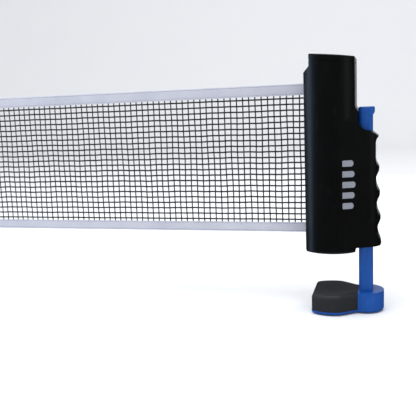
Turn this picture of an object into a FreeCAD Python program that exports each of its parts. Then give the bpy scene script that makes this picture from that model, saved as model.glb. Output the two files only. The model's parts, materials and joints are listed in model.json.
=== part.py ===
import FreeCAD, Part
import math
import os

import Sketcher
from FreeCAD import Rotation, Vector

# Table tennis net clamp: the post of a roll-up net. A casing stands on the edge of the table and holds
# a sprung reel, the net runs out of its slot, and a squeeze plunger clamps the edge from below.
#
# Frame: origin on the reel's axis where the seat meets the table, +Z up, +X away from the table,
# +Y along the table's end edge. The casing halves part at y = 0. Lengths are in millimetres.

SIZES = [
    # casing
    ("barrel_radius", 28.0, "plan radius of the barrel round the reel"),
    ("inboard_flat", 23.0, "reel axis to the flat that the net leaves from"),
    ("outboard_flat", 21.8, "reel axis to the flat above the grip"),
    ("top_inboard", 177.0, "height of the cap at its inboard edge"),
    ("top_outboard", 172.9, "height of the cap at its outboard edge"),
    ("setback_flat", 17.5, "reel axis to the inboard face of the set-back top"),
    ("setback_height", 160.8, "height where the set-back starts"),
    ("flat_rounding", 6.0, "rounding of the barrel's inboard corners"),
    ("shell_wall", 2.4, "wall of the casing"),
    ("cap_thick", 5.0, "depth of the top cap"),
    ("seam_gap", 0.6, "height of the shadow line under the cap"),
    ("seam_inset", 0.5, "depth of the shadow line under the cap"),
    ("spigot_depth", 2.0, "how far the cap's rim reaches into the casing"),
    ("spigot_wall", 1.8, "wall of the cap's rim"),
    ("cap_rounding", 1.0, "rounding of the cap's top edge"),
    ("pad_thick", 1.5, "rubber under the seat"),
    ("pad_inset", 0.3, "step from the casing in to the seat rubber"),
    ("seat_thick", 4.0, "seat plate inside the casing"),
    ("fit_gap", 0.1, "gap between pieces that are pressed or screwed together"),
    ("run_gap", 0.3, "gap between pieces that slide past each other"),
    # grip
    ("grip_reach", 44.0, "reel axis to the lowest finger ridge"),
    ("grip_end_radius", 17.2, "plan radius of the grip's outboard end"),
    ("grip_end_x", 27.1, "reel axis to the centre of the grip's end"),
    ("grip_bottom", 4.5, "height of the grip's underside"),
    ("grip_top", 131.0, "height where the grip runs out into the barrel"),
    ("ridge_first", 7.3, "height of the lowest finger ridge"),
    ("ridge_pitch", 22.3, "spacing of the finger ridges"),
    ("ridge_lean", 0.6, "how much less far each higher ridge reaches"),
    ("ridge_half", 3.0, "half height of a ridge's crown"),
    ("ridge_crown", 0.9, "rise of a ridge's crown"),
    ("ridge_depth", 3.1, "depth of the finger hollows"),
    ("wall_above_ridge", 8.7, "highest ridge to the straight wall over it"),
    ("wall_below_lip", 8.4, "straight wall to the tip of the grip's top lip"),
    ("lip_height", 103.0, "height of the tip of the grip's top lip"),
    ("scoop_radius", 10.6, "radius of the thumb scoop"),
    ("scoop_floor", 108.6, "height of the thumb scoop's floor"),
    ("blend_rise", 14.0, "height over which the grip's sides run out at its top"),
    # net slot and reel
    ("net_plane", 7.0, "reel axis to the plane of the net"),
    ("slot_half", 2.5, "half width of the slot between its guides"),
    ("guide_wide", 4.5, "width of each slot guide"),
    ("guide_proud", 0.8, "how far the slot guides stand out of the flat"),
    ("guide_depth", 4.4, "depth of the slot guides"),
    ("slot_low", 10.0, "height of the slot's lower end"),
    ("slot_under_plate", 0.5, "slot's upper end to the bearing plate above it"),
    ("felt_thick", 1.1, "felt on the inner face of each slot guide"),
    ("felt_short", 2.0, "how far the felts stop short of the guides' ends"),
    ("axle_radius", 1.5, "steel axle of the reel"),
    ("bush_wall", 1.1, "wall of the axle bushings"),
    ("bush_long", 8.0, "length of the axle bushings"),
    ("bush_gap", 0.05, "running clearance of the bushings on the axle"),
    ("tube_radius", 5.9, "outside of the reel tube"),
    ("tube_wall", 1.3, "wall of the reel tube"),
    ("flange_radius", 17.0, "radius of the reel's flanges"),
    ("flange_thick", 2.0, "thickness of the reel's flanges"),
    ("roll_thick", 0.6, "depth of net left on the reel"),
    ("clip_wide", 3.0, "width of the strip that holds the net on the reel"),
    ("rewind_radius", 3.2, "mean radius of the rewind spring"),
    ("rewind_wire", 0.9, "wire of the rewind spring"),
    ("rewind_pitch", 3.6, "pitch of the rewind spring"),
    ("rewind_high", 96.0, "height of the rewind spring's anchor"),
    ("anchor_long", 6.0, "length of the rewind spring's anchor"),
    ("plate_thick", 2.5, "upper bearing plate"),
    ("plate_gap", 1.0, "reel's upper flange to the bearing plate"),
    ("axle_over", 1.0, "axle's end above the bearing plate"),
    # net
    ("net_low", 13.2, "height of the net's lower edge"),
    ("net_high", 152.5, "height of the net's upper edge"),
    ("top_tape_wide", 10.4, "height of the upper tape"),
    ("low_tape_wide", 9.4, "height of the lower tape"),
    ("tape_thick", 1.6, "thickness of the folded tapes"),
    ("mesh_thick", 0.8, "thickness of the netting"),
    ("net_far", 375.0, "reel axis to the net's end hem, pulled out"),
    ("net_near", 2.5, "reel axis to where the net meets the roll"),
    ("bar_radius", 2.0, "end bar in the net's hem"),
    ("bar_beyond", 9.0, "hem's inner edge to the end bar"),
    ("bar_over", 6.0, "end bar beyond the net's edges"),
    ("hem_wall", 0.6, "cloth of the end hem"),
    ("hook_long", 9.0, "reach of the end hooks"),
    ("hook_thick", 2.0, "stock of the end hooks"),
    # plunger
    ("stem_x", 30.4, "reel axis to the middle of the stem"),
    ("stem_wide", 12.4, "width of the stem"),
    ("stem_deep", 21.0, "depth of the stem"),
    ("stem_round", 4.2, "rounding of the stem's corners"),
    ("stem_bore", 4.6, "radius of the spring chamber in the stem"),
    ("stem_low", 47.0, "depth of the stem's lower end below the seat"),
    ("chamber_low", 25.0, "depth of the spring chamber's floor below the seat"),
    ("button_low", 121.9, "height of the thumb button's underside"),
    ("button_tall", 7.5, "height of the thumb button"),
    ("button_over", 1.6, "how far the thumb button overhangs outboard"),
    ("button_undercut", 2.56, "height over which the overhang runs out"),
    ("pin_short", 0.3, "how far the button's pin ends inside the stem"),
    ("button_plug", 10.0, "plug of the thumb button in the stem"),
    ("button_round", 1.3, "rounding of the thumb button's top"),
    ("peg_height", 50.0, "height of the peg that the clamp spring stands on"),
    ("peg_radius", 1.5, "radius of the spring peg"),
    ("peg_hold", 2.6, "how far the peg reaches into each casing wall"),
    ("open_travel", 12.5, "plunger's travel down, to open the jaw"),
    ("close_travel", 38.0, "plunger's travel up, to close the jaw"),
    ("spring_radius", 3.3, "mean radius of the clamp spring"),
    ("spring_wire", 1.1, "wire of the clamp spring"),
    ("spring_pitch", 5.2, "pitch of the clamp spring"),
    ("seat_disc", 1.5, "disc between the peg and the clamp spring"),
    ("bush_wall_stem", 1.0, "wall of the stem's guide bushes"),
    ("low_bush_inset", 1.0, "grip's underside to the lower guide bush"),
    ("low_bush_tall", 8.0, "height of the stem's lower guide bush"),
    ("high_bush_tall", 6.0, "height of the stem's upper guide bush"),
    ("high_bush_low", 98.5, "height of the upper guide bush's underside"),
    # foot
    ("jaw_gap", 38.5, "gap between the seat and the foot pad"),
    ("foot_tall", 18.5, "height of the foot"),
    ("boss_radius", 17.0, "radius of the foot's round boss"),
    ("boss_x", 29.5, "reel axis to the middle of the boss"),
    ("fan_radius", 28.5, "plan radius of the foot's plate"),
    ("fan_edge", 18.0, "reel axis to the foot's inboard edge"),
    ("fan_turn", 9.0, "reel axis to where the plate starts to narrow"),
    ("step_gap", 0.7, "stem's inboard face to the step from the boss to the pad"),
    ("plate_tall", 2.6, "thickness of the foot's plate under the pad"),
    ("foot_corner", 3.0, "rounding of the foot's upright corners"),
    ("foot_rounding", 2.2, "rounding of the foot's lower edge"),
    ("rubber_rounding", 4.0, "rounding of the foot pad's upper edge"),
    # fasteners
    ("foot_shank", 1.56, "shank of the screw that holds the foot on the stem"),
    ("foot_head", 3.24, "head radius of the foot's screw"),
    ("foot_head_low", 0.6, "foot's underside to the foot screw's head"),
    ("foot_head_top", 3.2, "foot's underside to the top of the foot screw's head"),
    ("foot_screw_end", 6.0, "spring chamber's floor to the foot screw's tip"),
    ("foot_pilot_end", 4.0, "spring chamber's floor to the end of the screw's hole"),
    ("pad_screw_x", 2.0, "reel axis to the pad's screws, inboard"),
    ("pad_head_low", 0.4, "foot's underside to the pad screws' heads"),
    ("pad_head_top", 1.6, "foot's underside to the top of the pad screws' heads"),
    ("pad_screw_top", 10.0, "foot's underside to the pad screws' tips"),
    ("pad_side_gap", 0.3, "step from the foot's plate in to the rubber pad"),
    ("screw_radius", 1.2, "shank of the casing screws"),
    ("screw_head", 2.4, "head radius of the casing screws"),
    ("screw_head_tall", 1.8, "head height of the casing screws"),
    ("screw_seat", 17.5, "parting plane to the top of the screw heads"),
    ("screw_reach", 9.0, "parting plane to the tips of the casing screws"),
    ("boss_wall", 1.6, "wall of the screw bosses at the top"),
    ("boss_over_plate", 3.6, "bearing plate's top to the middle of the upper screw bosses"),
    ("latch_radius", 1.6, "moulding latch hole in the outboard flat"),
    ("latch_height", 137.0, "height of the moulding latch hole"),
    ("latch_back", 2.24, "parting plane to the middle of the latch hole"),
    # printed mark
    ("mark_thick", 0.25, "thickness of the raised mark"),
    ("mark_x", 15.4, "reel axis to the middle of the mark"),
    ("mark_height", 62.0, "height of the middle of the mark"),
    ("mark_bar", 10.5, "length of the mark's bars"),
    ("mark_pitch", 9.4, "spacing of the mark's bars"),
    ("mark_stroke", 5.4, "height of the mark's bars"),
]
RIDGES = 4
WEB_SCREW_HEIGHTS = (20.0, 62.0, 88.0)
TOP_SCREW_PLACES = (-9.0, 12.0)
MARK_BARS = 5
MARK_TAPER = 0.16    # how much shorter each bar is than the next one in, as a share
MARK_END = 1.15      # radius of a bar's ends over half its height
LIP_ARC = 0.7        # radius of the bends under the lip over that of the finger hollows
OPEN_HEAD = 8.0      # screw heads' recesses run this many gaps further, out of the underside
SCREW_SLOT = 0.5
OVERRUN = 1.1        # how far a blank reaches past what it shapes, as a multiple of that size
CUT_START = 1.0      # how far outside a face a cut into it starts
GUIDE_ROUND = 0.9    # rounding of the slot guides over how far they stand out
FELT_DEEP = 0.6      # depth of the felts over that of the slot guides
FAR = 400.0

X, Y, Z = Vector(1, 0, 0), Vector(0, 1, 0), Vector(0, 0, 1)

doc = FreeCAD.newDocument("net_clamp")
sheet = doc.addObject("Spreadsheet::Sheet", "Sizes")
nodes = {}


class Size:
    """A number that also carries the sheet expression which gives it."""

    def __init__(self, number, text):
        self.number = number
        self.text = text

    @staticmethod
    def of(value):
        if isinstance(value, Size):
            return value
        return Size(float(value), f"({float(value):.6g})")

    def joined(self, other, sign, number):
        return Size(number, f"({self.text} {sign} {Size.of(other).text})")

    def __add__(self, other):
        return self.joined(other, "+", self.number + Size.of(other).number)

    def __sub__(self, other):
        return self.joined(other, "-", self.number - Size.of(other).number)

    def __mul__(self, other):
        return self.joined(other, "*", self.number * Size.of(other).number)

    def __truediv__(self, other):
        return self.joined(other, "/", self.number / Size.of(other).number)

    def __radd__(self, other):
        return Size.of(other) + self

    def __rsub__(self, other):
        return Size.of(other) - self

    def __rmul__(self, other):
        return Size.of(other) * self

    def __neg__(self):
        return Size.of(0.0) - self

    def root(self):
        return Size(math.sqrt(self.number), f"sqrt({self.text})")


class Sizes:
    """The sheet's cells as attributes."""


S = Sizes()
for row, (alias, number, note) in enumerate(SIZES, start=1):
    sheet.set(f"A{row}", alias)
    sheet.set(f"B{row}", f"{number}")
    sheet.set(f"C{row}", note)
    sheet.setAlias(f"B{row}", alias)
    setattr(S, alias, Size(number, f"Sizes.{alias}"))
doc.recompute()


def bind(thing, **sizes):
    """Set properties of a document object and tie them to the sheet."""
    for name, size in sizes.items():
        size = Size.of(size)
        setattr(thing, name, size.number)
        thing.setExpression(name, size.text)


def place(thing, x=0.0, y=0.0, z=0.0, turn=None):
    """Put an object at a point that follows the sheet."""
    if turn is not None:
        thing.Placement.Rotation = turn
    for axis, size in zip("xyz", (x, y, z)):
        thing.setExpression(f"Placement.Base.{axis}", Size.of(size).text)


def box(name, x, y, z):
    """A block between a low and a high size on each axis."""
    block = doc.addObject("Part::Box", name)
    low = [Size.of(pair[0]) for pair in (x, y, z)]
    high = [Size.of(pair[1]) for pair in (x, y, z)]
    bind(block, Length=high[0] - low[0], Width=high[1] - low[1], Height=high[2] - low[2])
    place(block, *low)
    return block


def cylinder(name, radius, length, at, axis=Z):
    """A round bar that starts at a point and runs along an axis."""
    bar = doc.addObject("Part::Cylinder", name)
    bind(bar, Radius=radius, Height=length)
    place(bar, *at, turn=Rotation(Z, axis))
    return bar


def fuse(name, *shapes):
    joined = doc.addObject("Part::MultiFuse", name)
    joined.Shapes = list(shapes)
    return joined


def common(name, *shapes):
    shared = doc.addObject("Part::MultiCommon", name)
    shared.Shapes = list(shapes)
    return shared


def cut(name, base, *tools):
    """A base shape less one or more tools."""
    rest = doc.addObject("Part::Cut", name)
    rest.Base = base
    rest.Tool = tools[0] if len(tools) == 1 else fuse(name + "_tools", *tools)
    return rest


def bundle(name, *shapes):
    """Separate solids that share one node."""
    group = doc.addObject("Part::Compound", name)
    group.Links = list(shapes)
    return group


def node(label, thing):
    """Name the finished sub-part."""
    thing.Label = label
    nodes[label] = thing
    return thing


def rounded(name, base, radius, chosen):
    """Round the edges of a shape that a test chooses."""
    doc.recompute()
    edges = [number for number, edge in enumerate(base.Shape.Edges, start=1) if chosen(edge)]
    fillet = doc.addObject("Part::Fillet", name)
    fillet.Base = base
    fillet.Edges = [(number, radius.number, radius.number) for number in edges]
    return fillet


def upright(edge):
    """True for a straight vertical edge."""
    start, end = edge.Vertexes[0].Point, edge.Vertexes[-1].Point
    straight = edge.Curve.TypeId == "Part::GeomLine"
    return straight and abs(start.x - end.x) < 1e-6 and abs(start.y - end.y) < 1e-6


def level_with(edge, height):
    """True for an edge that lies at a height."""
    return all(abs(vertex.Z - height.number) < 1e-3 for vertex in edge.Vertexes)


def plan_corner(edge):
    """True for the foot's upright corners: all upright edges but the seam of its round boss."""
    return upright(edge) and edge.Vertexes[0].X < S.boss_x.number


def origin_plane(body, role):
    return next(plane for plane in body.Origin.OriginFeatures if plane.Role == role)


def sketch_on(body, role):
    """An empty sketch on one of the body's own planes."""
    sketch = body.newObject("Sketcher::SketchObject", body.Name + "_sketch")
    sketch.AttachmentSupport = (origin_plane(body, role), [""])
    sketch.MapMode = "FlatFace"
    return sketch


def fix_point(sketch, edge, end, corner):
    """Hold an edge's end at a corner by two dimensions from the sketch's origin."""
    for kind, size in (("DistanceX", corner[0]), ("DistanceY", corner[1])):
        size = Size.of(size)
        index = sketch.addConstraint(Sketcher.Constraint(kind, -1, 1, edge, end, size.number))
        sketch.setExpression(f"Constraints[{index}]", size.text)


def add_loop(sketch, corners):
    """Draw a closed outline.

    Each corner is (x, y) for a straight run to the next corner, or (x, y, radius, side) for an arc:
    side 1 puts the arc's centre on the left of the run, and -1 on its right.
    """
    ends = []
    for number, corner in enumerate(corners):
        following = corners[(number + 1) % len(corners)]
        start = Vector(Size.of(corner[0]).number, Size.of(corner[1]).number, 0)
        finish = Vector(Size.of(following[0]).number, Size.of(following[1]).number, 0)
        if len(corner) == 2:
            ends.append((sketch.addGeometry(Part.LineSegment(start, finish), False), 1, 2))
            continue
        radius, side = Size.of(corner[2]), corner[3]
        run = finish - start
        height = math.sqrt(max(radius.number ** 2 - (run.Length / 2) ** 2, 0.0))
        centre = (start + finish) / 2 + Vector(-run.y, run.x, 0).normalize() * height * side
        first, last = (start, finish) if side > 0 else (finish, start)
        angles = [math.atan2(point.y - centre.y, point.x - centre.x) for point in (first, last)]
        arc = Part.ArcOfCircle(Part.Circle(centre, Z, radius.number), *angles)
        index = sketch.addGeometry(arc, False)
        bound = sketch.addConstraint(Sketcher.Constraint("Radius", index, radius.number))
        sketch.setExpression(f"Constraints[{bound}]", radius.text)
        ends.append((index, 1, 2) if side > 0 else (index, 2, 1))
    for number, (edge, _, end) in enumerate(ends):
        following, begin, _ = ends[(number + 1) % len(ends)]
        sketch.addConstraint(Sketcher.Constraint("Coincident", edge, end, following, begin))
    for (edge, begin, _), corner in zip(ends, corners):
        fix_point(sketch, edge, begin, corner)


def padded(name, role, low, high, loops):
    """A body padded from one sketch, from a low to a high place along its plane's axis."""
    low, high = Size.of(low), Size.of(high)
    body = doc.addObject("PartDesign::Body", name)
    sketch = sketch_on(body, role)
    for corners in loops:
        add_loop(sketch, corners)
    pad = body.newObject("PartDesign::Pad", name + "_pad")
    pad.Profile = sketch
    bind(pad, Length=high - low)
    if role == "XY_Plane":
        place(body, z=low)
    elif role == "XZ_Plane":
        place(body, y=high)
    else:
        place(body, x=low)
    doc.recompute()
    return body


def turned(name, outline, x=0.0, y=0.0, z=0.0, turn=None):
    """A body turned about its own axis from half its section, given as (radius, height) corners."""
    body = doc.addObject("PartDesign::Body", name)
    sketch = sketch_on(body, "XZ_Plane")
    add_loop(sketch, outline)
    revolution = body.newObject("PartDesign::Revolution", name + "_turn")
    revolution.Profile = sketch
    revolution.ReferenceAxis = (sketch, ["V_Axis"])
    revolution.Angle = 360.0
    place(body, x, y, z, turn)
    doc.recompute()
    return body


def coil(name, radius, wire, pitch, low, high, x=0.0):
    """A round wire wound about a vertical axis between two heights."""
    helix = doc.addObject("Part::Helix", name + "_path")
    bind(helix, Pitch=pitch, Height=high - low - wire, Radius=radius)
    section = doc.addObject("Part::Circle", name + "_section")
    bind(section, Radius=wire / 2)
    place(section, x=radius, turn=Rotation(X, 90))
    sweep = doc.addObject("Part::Sweep", name)
    sweep.Sections = [section]
    sweep.Spine = (helix, ["Edge1"])
    sweep.Solid = True
    sweep.Frenet = True
    place(sweep, x=x, z=low + wire / 2)
    return sweep


# --- casing ------------------------------------------------------------------------------------------


def barrel_side(name, inset, drop, low):
    """The barrel seen from the front, less an inset all round and a drop from its sloping top."""
    setback = S.setback_flat - inset
    inboard = S.inboard_flat - inset
    corners = [
        (-inboard, low),
        (S.outboard_flat - inset, low),
        (S.outboard_flat - inset, S.top_outboard - drop),
        (-setback, S.top_inboard - drop),
        (-setback, S.setback_height + S.inboard_flat - S.setback_flat - inset),
        (-inboard, S.setback_height - inset),
    ]
    return padded(name, "XZ_Plane", -S.barrel_radius * OVERRUN, S.barrel_radius * OVERRUN, [corners])


def barrel(name, inset, drop, low):
    """The barrel as a solid: a cylinder within its front outline, its inboard corners rounded."""
    inset, drop, low = Size.of(inset), Size.of(drop), Size.of(low)
    round_bar = cylinder(name + "_round", S.barrel_radius - inset, S.top_inboard * OVERRUN, (0, 0, 0))
    inboard = -(S.inboard_flat - inset)
    plan = common(name + "_plan", round_bar,
                  box(name + "_flat", (inboard, FAR), (-FAR, FAR), (0, S.top_inboard * OVERRUN)))
    soft = rounded(name + "_soft", plan, S.flat_rounding,
                   lambda edge: upright(edge) and abs(edge.Vertexes[0].X - inboard.number) < 1e-3)
    return common(name, soft, barrel_side(name + "_side", inset, drop, low))


def grip_corners():
    """The grip seen from the front: finger ridges outboard, a lip and a thumb scoop at its top."""
    reach, crown, depth = S.grip_reach, S.ridge_crown, S.ridge_depth
    crown_arc = (S.ridge_half * S.ridge_half + crown * crown) / (crown * 2)
    half_run = S.ridge_pitch / 2 - S.ridge_half
    sag = depth - crown
    hollow_arc = (half_run * half_run + sag * sag) / (sag * 2)
    corners = [(0, S.grip_bottom), (reach - crown, S.grip_bottom),
               (reach, S.ridge_first - S.ridge_half / 2)]
    for ridge in range(RIDGES):
        tip = reach - S.ridge_lean * ridge - crown
        height = S.ridge_first + S.ridge_pitch * ridge
        if ridge:
            corners.append((tip, height - S.ridge_half, crown_arc, 1))
        if ridge < RIDGES - 1:
            corners.append((tip, height + S.ridge_half, hollow_arc, -1))
    last_tip = reach - S.ridge_lean * (RIDGES - 1) - crown
    last_height = S.ridge_first + S.ridge_pitch * (RIDGES - 1)
    wall_x = last_tip - S.ridge_depth + crown
    lip_x = last_tip + crown - S.ridge_lean
    scoop_x = S.stem_x - S.stem_wide / 2
    corners += [
        (last_tip, last_height + S.ridge_half, hollow_arc * LIP_ARC, -1),
        (wall_x, last_height + S.wall_above_ridge),
        (wall_x, S.lip_height - S.wall_below_lip, hollow_arc * LIP_ARC, -1),
        (lip_x, S.lip_height),
        (lip_x - crown / 2, S.lip_height + crown),
        (scoop_x + S.scoop_radius, S.scoop_floor, S.scoop_radius, -1),
        (scoop_x, S.scoop_floor + S.scoop_radius),
        (scoop_x, S.button_low + S.button_tall / 3),
        (S.outboard_flat, S.grip_top),
        (0, S.grip_top),
    ]
    return corners


def grip_plan():
    """The grip from above: straight sides that touch the barrel's circle and the end circle."""
    lean = (S.barrel_radius - S.grip_end_radius) / S.grip_end_x
    along = (1.0 - lean * lean).root()
    near = (S.barrel_radius * lean, S.barrel_radius * along)
    far = (S.grip_end_x + S.grip_end_radius * lean, S.grip_end_radius * along)
    return [
        (near[0], -near[1]),
        (far[0], -far[1], S.grip_end_radius, 1),
        (S.grip_end_x + S.grip_end_radius, 0, S.grip_end_radius, 1),
        (far[0], far[1]),
        (near[0], near[1]),
        (0, near[1]),
        (0, -near[1]),
    ]


def run_out_wedge(name, side):
    """A block that leans in over the grip's side, so the side runs out into the barrel's flat."""
    lean = (S.barrel_radius.number - S.grip_end_radius.number) / S.grip_end_x.number
    plan_angle = math.degrees(math.asin(lean))
    flat = S.outboard_flat.number
    corner_y = math.sqrt(S.barrel_radius.number ** 2 - flat ** 2)
    stand_off = flat * lean + corner_y * math.sqrt(1 - lean * lean)
    tilt = math.degrees(math.atan((S.barrel_radius.number - stand_off) / S.blend_rise.number))
    wedge = doc.addObject("Part::Box", name)
    wedge.Length, wedge.Width, wedge.Height = FAR, FAR, FAR
    lift = Vector(0, 0, S.grip_top.number - S.blend_rise.number)
    radial = Rotation(Z, side * (90 - plan_angle) - 90)
    turn = radial * Rotation(X, tilt)
    base = radial.multVec(Vector(0, S.barrel_radius.number, 0)) + lift
    wedge.Placement = FreeCAD.Placement(base + turn.multVec(Vector(-FAR / 2, 0, 0)), turn)
    return wedge


def casing_outside():
    """The whole outside of the casing below its cap."""
    under_cap = S.cap_thick + S.seam_gap
    shaft = barrel("barrel_outside", 0, under_cap, S.pad_thick)
    side = padded("grip_side", "XZ_Plane", -S.barrel_radius, S.barrel_radius, [grip_corners()])
    plan = padded("grip_from_above", "XY_Plane", 0, S.grip_top + 1, [grip_plan()])
    grip = cut("grip_outside", common("grip_blank", side, plan),
               run_out_wedge("run_out_front", -1), run_out_wedge("run_out_rear", 1))
    return fuse("casing_outside", shaft, grip)


def rounded_corners(wide, deep, radius):
    """Corners of a rectangle with rounded corners, about the origin."""
    x, y = wide / 2, deep / 2
    return [
        (radius - x, -y), (x - radius, -y, radius, 1),
        (x, radius - y), (x, y - radius, radius, 1),
        (x - radius, y), (radius - x, y, radius, 1),
        (-x, y - radius), (-x, radius - y, radius, 1),
    ]


def stem_prism(name, gap, low, high):
    """A bar of the stem's section, larger by a gap all round."""
    gap = Size.of(gap)
    bar = padded(name, "XY_Plane", low, high,
                 [rounded_corners(S.stem_wide + gap * 2, S.stem_deep + gap * 2, S.stem_round + gap)])
    place(bar, x=S.stem_x, z=low)
    return bar


def tube_ends():
    """Heights of the reel tube's two ends."""
    clear = S.flange_thick / 2
    return S.net_low - clear, S.net_high + clear


def plate_ends():
    """Heights of the upper bearing plate's two faces."""
    low = tube_ends()[1] + S.flange_thick + S.plate_gap
    return low, low + S.plate_thick


def slot_ends():
    """Heights of the net slot's two ends."""
    return S.slot_low, plate_ends()[0] - S.slot_under_plate


def boss_height():
    """Height of the upper screw bosses."""
    return plate_ends()[1] + S.boss_over_plate


def screw_places():
    """Places (x, z) of the casing screws: up the web beside the stem, and in the two top bosses."""
    web_x = (S.outboard_flat - S.shell_wall + S.stem_x - S.stem_wide / 2 - S.run_gap) / 2
    places = [(web_x, Size.of(height)) for height in WEB_SCREW_HEIGHTS]
    return places + [(Size.of(x), boss_height()) for x in TOP_SCREW_PLACES]


def casing_halves():
    """Front and rear halves of the casing, hollowed for the reel, the stem and the fasteners."""
    outside = casing_outside()
    reel_room = barrel("reel_room", S.shell_wall, -S.cap_thick, 0)
    stem_room = stem_prism("stem_room", S.run_gap, -S.stem_low, S.top_inboard)
    bush_room = []
    for name, low, tall in (("low", S.grip_bottom + S.low_bush_inset, S.low_bush_tall),
                            ("high", S.high_bush_low, S.high_bush_tall)):
        bush_room.append(stem_prism(f"{name}_bush_room", S.run_gap + S.bush_wall_stem + S.fit_gap,
                                    low - S.fit_gap, low + tall + S.fit_gap))
    peg_half = S.stem_deep / 2 + S.run_gap + S.peg_hold + S.fit_gap
    peg_room = cylinder("peg_room", S.peg_radius, peg_half * 2, (S.stem_x, -peg_half, S.peg_height), Y)
    hollow = cut("casing_hollow", outside, reel_room, stem_room, peg_room, *bush_room)

    bosses, bores = [], []
    for number, (x, z) in enumerate(screw_places(), start=1):
        bores.append(cylinder(f"screw_bore_{number}", S.screw_radius, S.screw_reach + S.fit_gap + FAR,
                              (x, -S.screw_reach - S.fit_gap, z), Y))
        bores.append(cylinder(f"head_bore_{number}", S.screw_head + S.fit_gap * 2, FAR,
                              (x, S.screw_seat - S.screw_head_tall, z), Y))
        if number > len(WEB_SCREW_HEIGHTS):
            bosses.append(cylinder(f"screw_boss_{number}", S.screw_radius + S.boss_wall,
                                   S.barrel_radius * 2, (x, -S.barrel_radius, z), Y))
    boss_bars = common("screw_bosses", outside, fuse("boss_bars", *bosses))
    filled = fuse("casing_with_bosses", hollow, boss_bars)
    latch = cylinder("latch_bore", S.latch_radius, S.shell_wall * 2,
                     (S.outboard_flat - S.shell_wall, S.latch_back, S.latch_height), X)
    opening = slot_opening()
    whole = cut("casing_whole", filled, latch, opening, *bores)
    front_side = box("front_side", (-FAR, FAR), (-FAR, 0), (-FAR, FAR))
    rear_side = box("rear_side", (-FAR, FAR), (0, FAR), (-FAR, FAR))
    node("front_shell", common("front_shell", whole, front_side))
    node("rear_shell", common("rear_shell", whole, rear_side))


def slot_opening():
    """The opening in the inboard wall that holds both slot guides."""
    half = S.slot_half + S.guide_wide
    return box("slot_opening", (-S.inboard_flat - CUT_START, -S.inboard_flat + S.guide_depth),
               (S.net_plane - half, S.net_plane + half), slot_ends())


def slot_guides():
    """Two rounded lips that the net runs out between, each lined with a felt."""
    outer = -S.inboard_flat - S.guide_proud
    inner = -S.inboard_flat + S.guide_depth
    slot_low, slot_high = slot_ends()
    low, high = slot_low + S.fit_gap, slot_high - S.fit_gap
    felts = []
    for name, side in (("front", -1), ("rear", 1)):
        near = S.net_plane + S.slot_half * side
        far = S.net_plane + (S.slot_half + S.guide_wide - S.fit_gap) * side
        y = (near, far) if side > 0 else (far, near)
        blank = box(f"{name}_guide_blank", (outer, inner), y, (low, high))
        soft = rounded(f"{name}_guide_soft", blank, S.guide_proud * GUIDE_ROUND,
                       lambda edge: upright(edge) and edge.Vertexes[0].X < outer.number + 1e-3)
        face = near + S.felt_thick * side
        felt_y = (near, face) if side > 0 else (face, near)
        felt_x = (inner - S.guide_depth * FELT_DEEP, inner - S.fit_gap)
        felts.append(box(f"{name}_felt", felt_x, felt_y, (low + S.felt_short, high - S.felt_short)))
        bed = box(f"{name}_felt_bed", felt_x, felt_y, (low + S.felt_short, high - S.felt_short))
        node(f"slot_guide_{name}", cut(f"slot_guide_{name}", soft, bed))
    node("slot_felts", bundle("slot_felts", *felts))


def top_cap():
    """The sloping cap: a rounded lid, a narrow neck that leaves the shadow line, and a rim."""
    lid_body = barrel("cap_lid_bar", 0, 0, 0)
    under = barrel("cap_under_bar", -S.fit_gap, S.cap_thick, 0)
    lid = cut("cap_lid_sharp", lid_body, under)

    def on_top(edge):
        slope = (S.top_outboard.number - S.top_inboard.number)
        run = S.outboard_flat.number + S.setback_flat.number
        heights = [vertex.Z - S.top_inboard.number - slope * (vertex.X + S.setback_flat.number) / run
                   for vertex in edge.Vertexes]
        return all(abs(height) < 1e-3 for height in heights)

    soft = rounded("cap_lid", lid, S.cap_rounding, on_top)
    neck_body = barrel("cap_neck_bar", S.seam_inset, S.cap_thick, 0)
    neck_cut = barrel("cap_neck_cut", 0, S.cap_thick + S.seam_gap, 0)
    neck = cut("cap_neck", neck_body, neck_cut)
    rim_bar = barrel("cap_rim_bar", S.shell_wall + S.fit_gap, S.cap_thick, 0)
    rim_core = barrel("cap_rim_core", S.shell_wall + S.fit_gap + S.spigot_wall,
                      S.cap_thick, 0)
    rim_low = barrel("cap_rim_low", 0, S.cap_thick + S.seam_gap + S.spigot_depth, 0)
    rim = cut("cap_rim", rim_bar, rim_core, rim_low)
    node("top_cap", fuse("top_cap", soft, neck, rim))


def seat():
    """Seat plate with the axle's socket, and the rubber that rests on the table."""
    high = S.pad_thick + S.seat_thick
    blank = common("seat_blank", barrel("seat_bar", S.shell_wall + S.fit_gap, 0, 0),
                   box("seat_slab", (-FAR, FAR), (-FAR, FAR), (S.pad_thick, high)))
    socket = cylinder("axle_socket", S.axle_radius, FAR, (0, 0, S.pad_thick + S.seat_thick / 4))
    node("seat_plate", cut("seat_plate", blank, socket))
    node("seat_pad", common("seat_pad", barrel("pad_bar", S.pad_inset, 0, 0),
                            box("pad_slab", (-FAR, FAR), (-FAR, FAR), (0, S.pad_thick))))


def casing_screws():
    """Countersunk screws from the rear half into the front half."""
    screws = []
    for number, (x, z) in enumerate(screw_places(), start=1):
        head_low = S.screw_seat - S.screw_head_tall
        head = cylinder(f"screw_head_{number}", S.screw_head, S.screw_head_tall, (x, head_low, z), Y)
        shank = cylinder(f"screw_shank_{number}", S.screw_radius, head_low + S.screw_reach,
                         (x, -S.screw_reach, z), Y)
        slot = box(f"screw_slot_{number}", (x - SCREW_SLOT, x + SCREW_SLOT),
                   (S.screw_seat - S.screw_head_tall / 2, FAR),
                   (z - S.screw_head * 2, z + S.screw_head * 2))
        screws.append(cut(f"screw_{number}", fuse(f"screw_blank_{number}", head, shank), slot))
    node("casing_screws", bundle("casing_screws", *screws))


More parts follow.
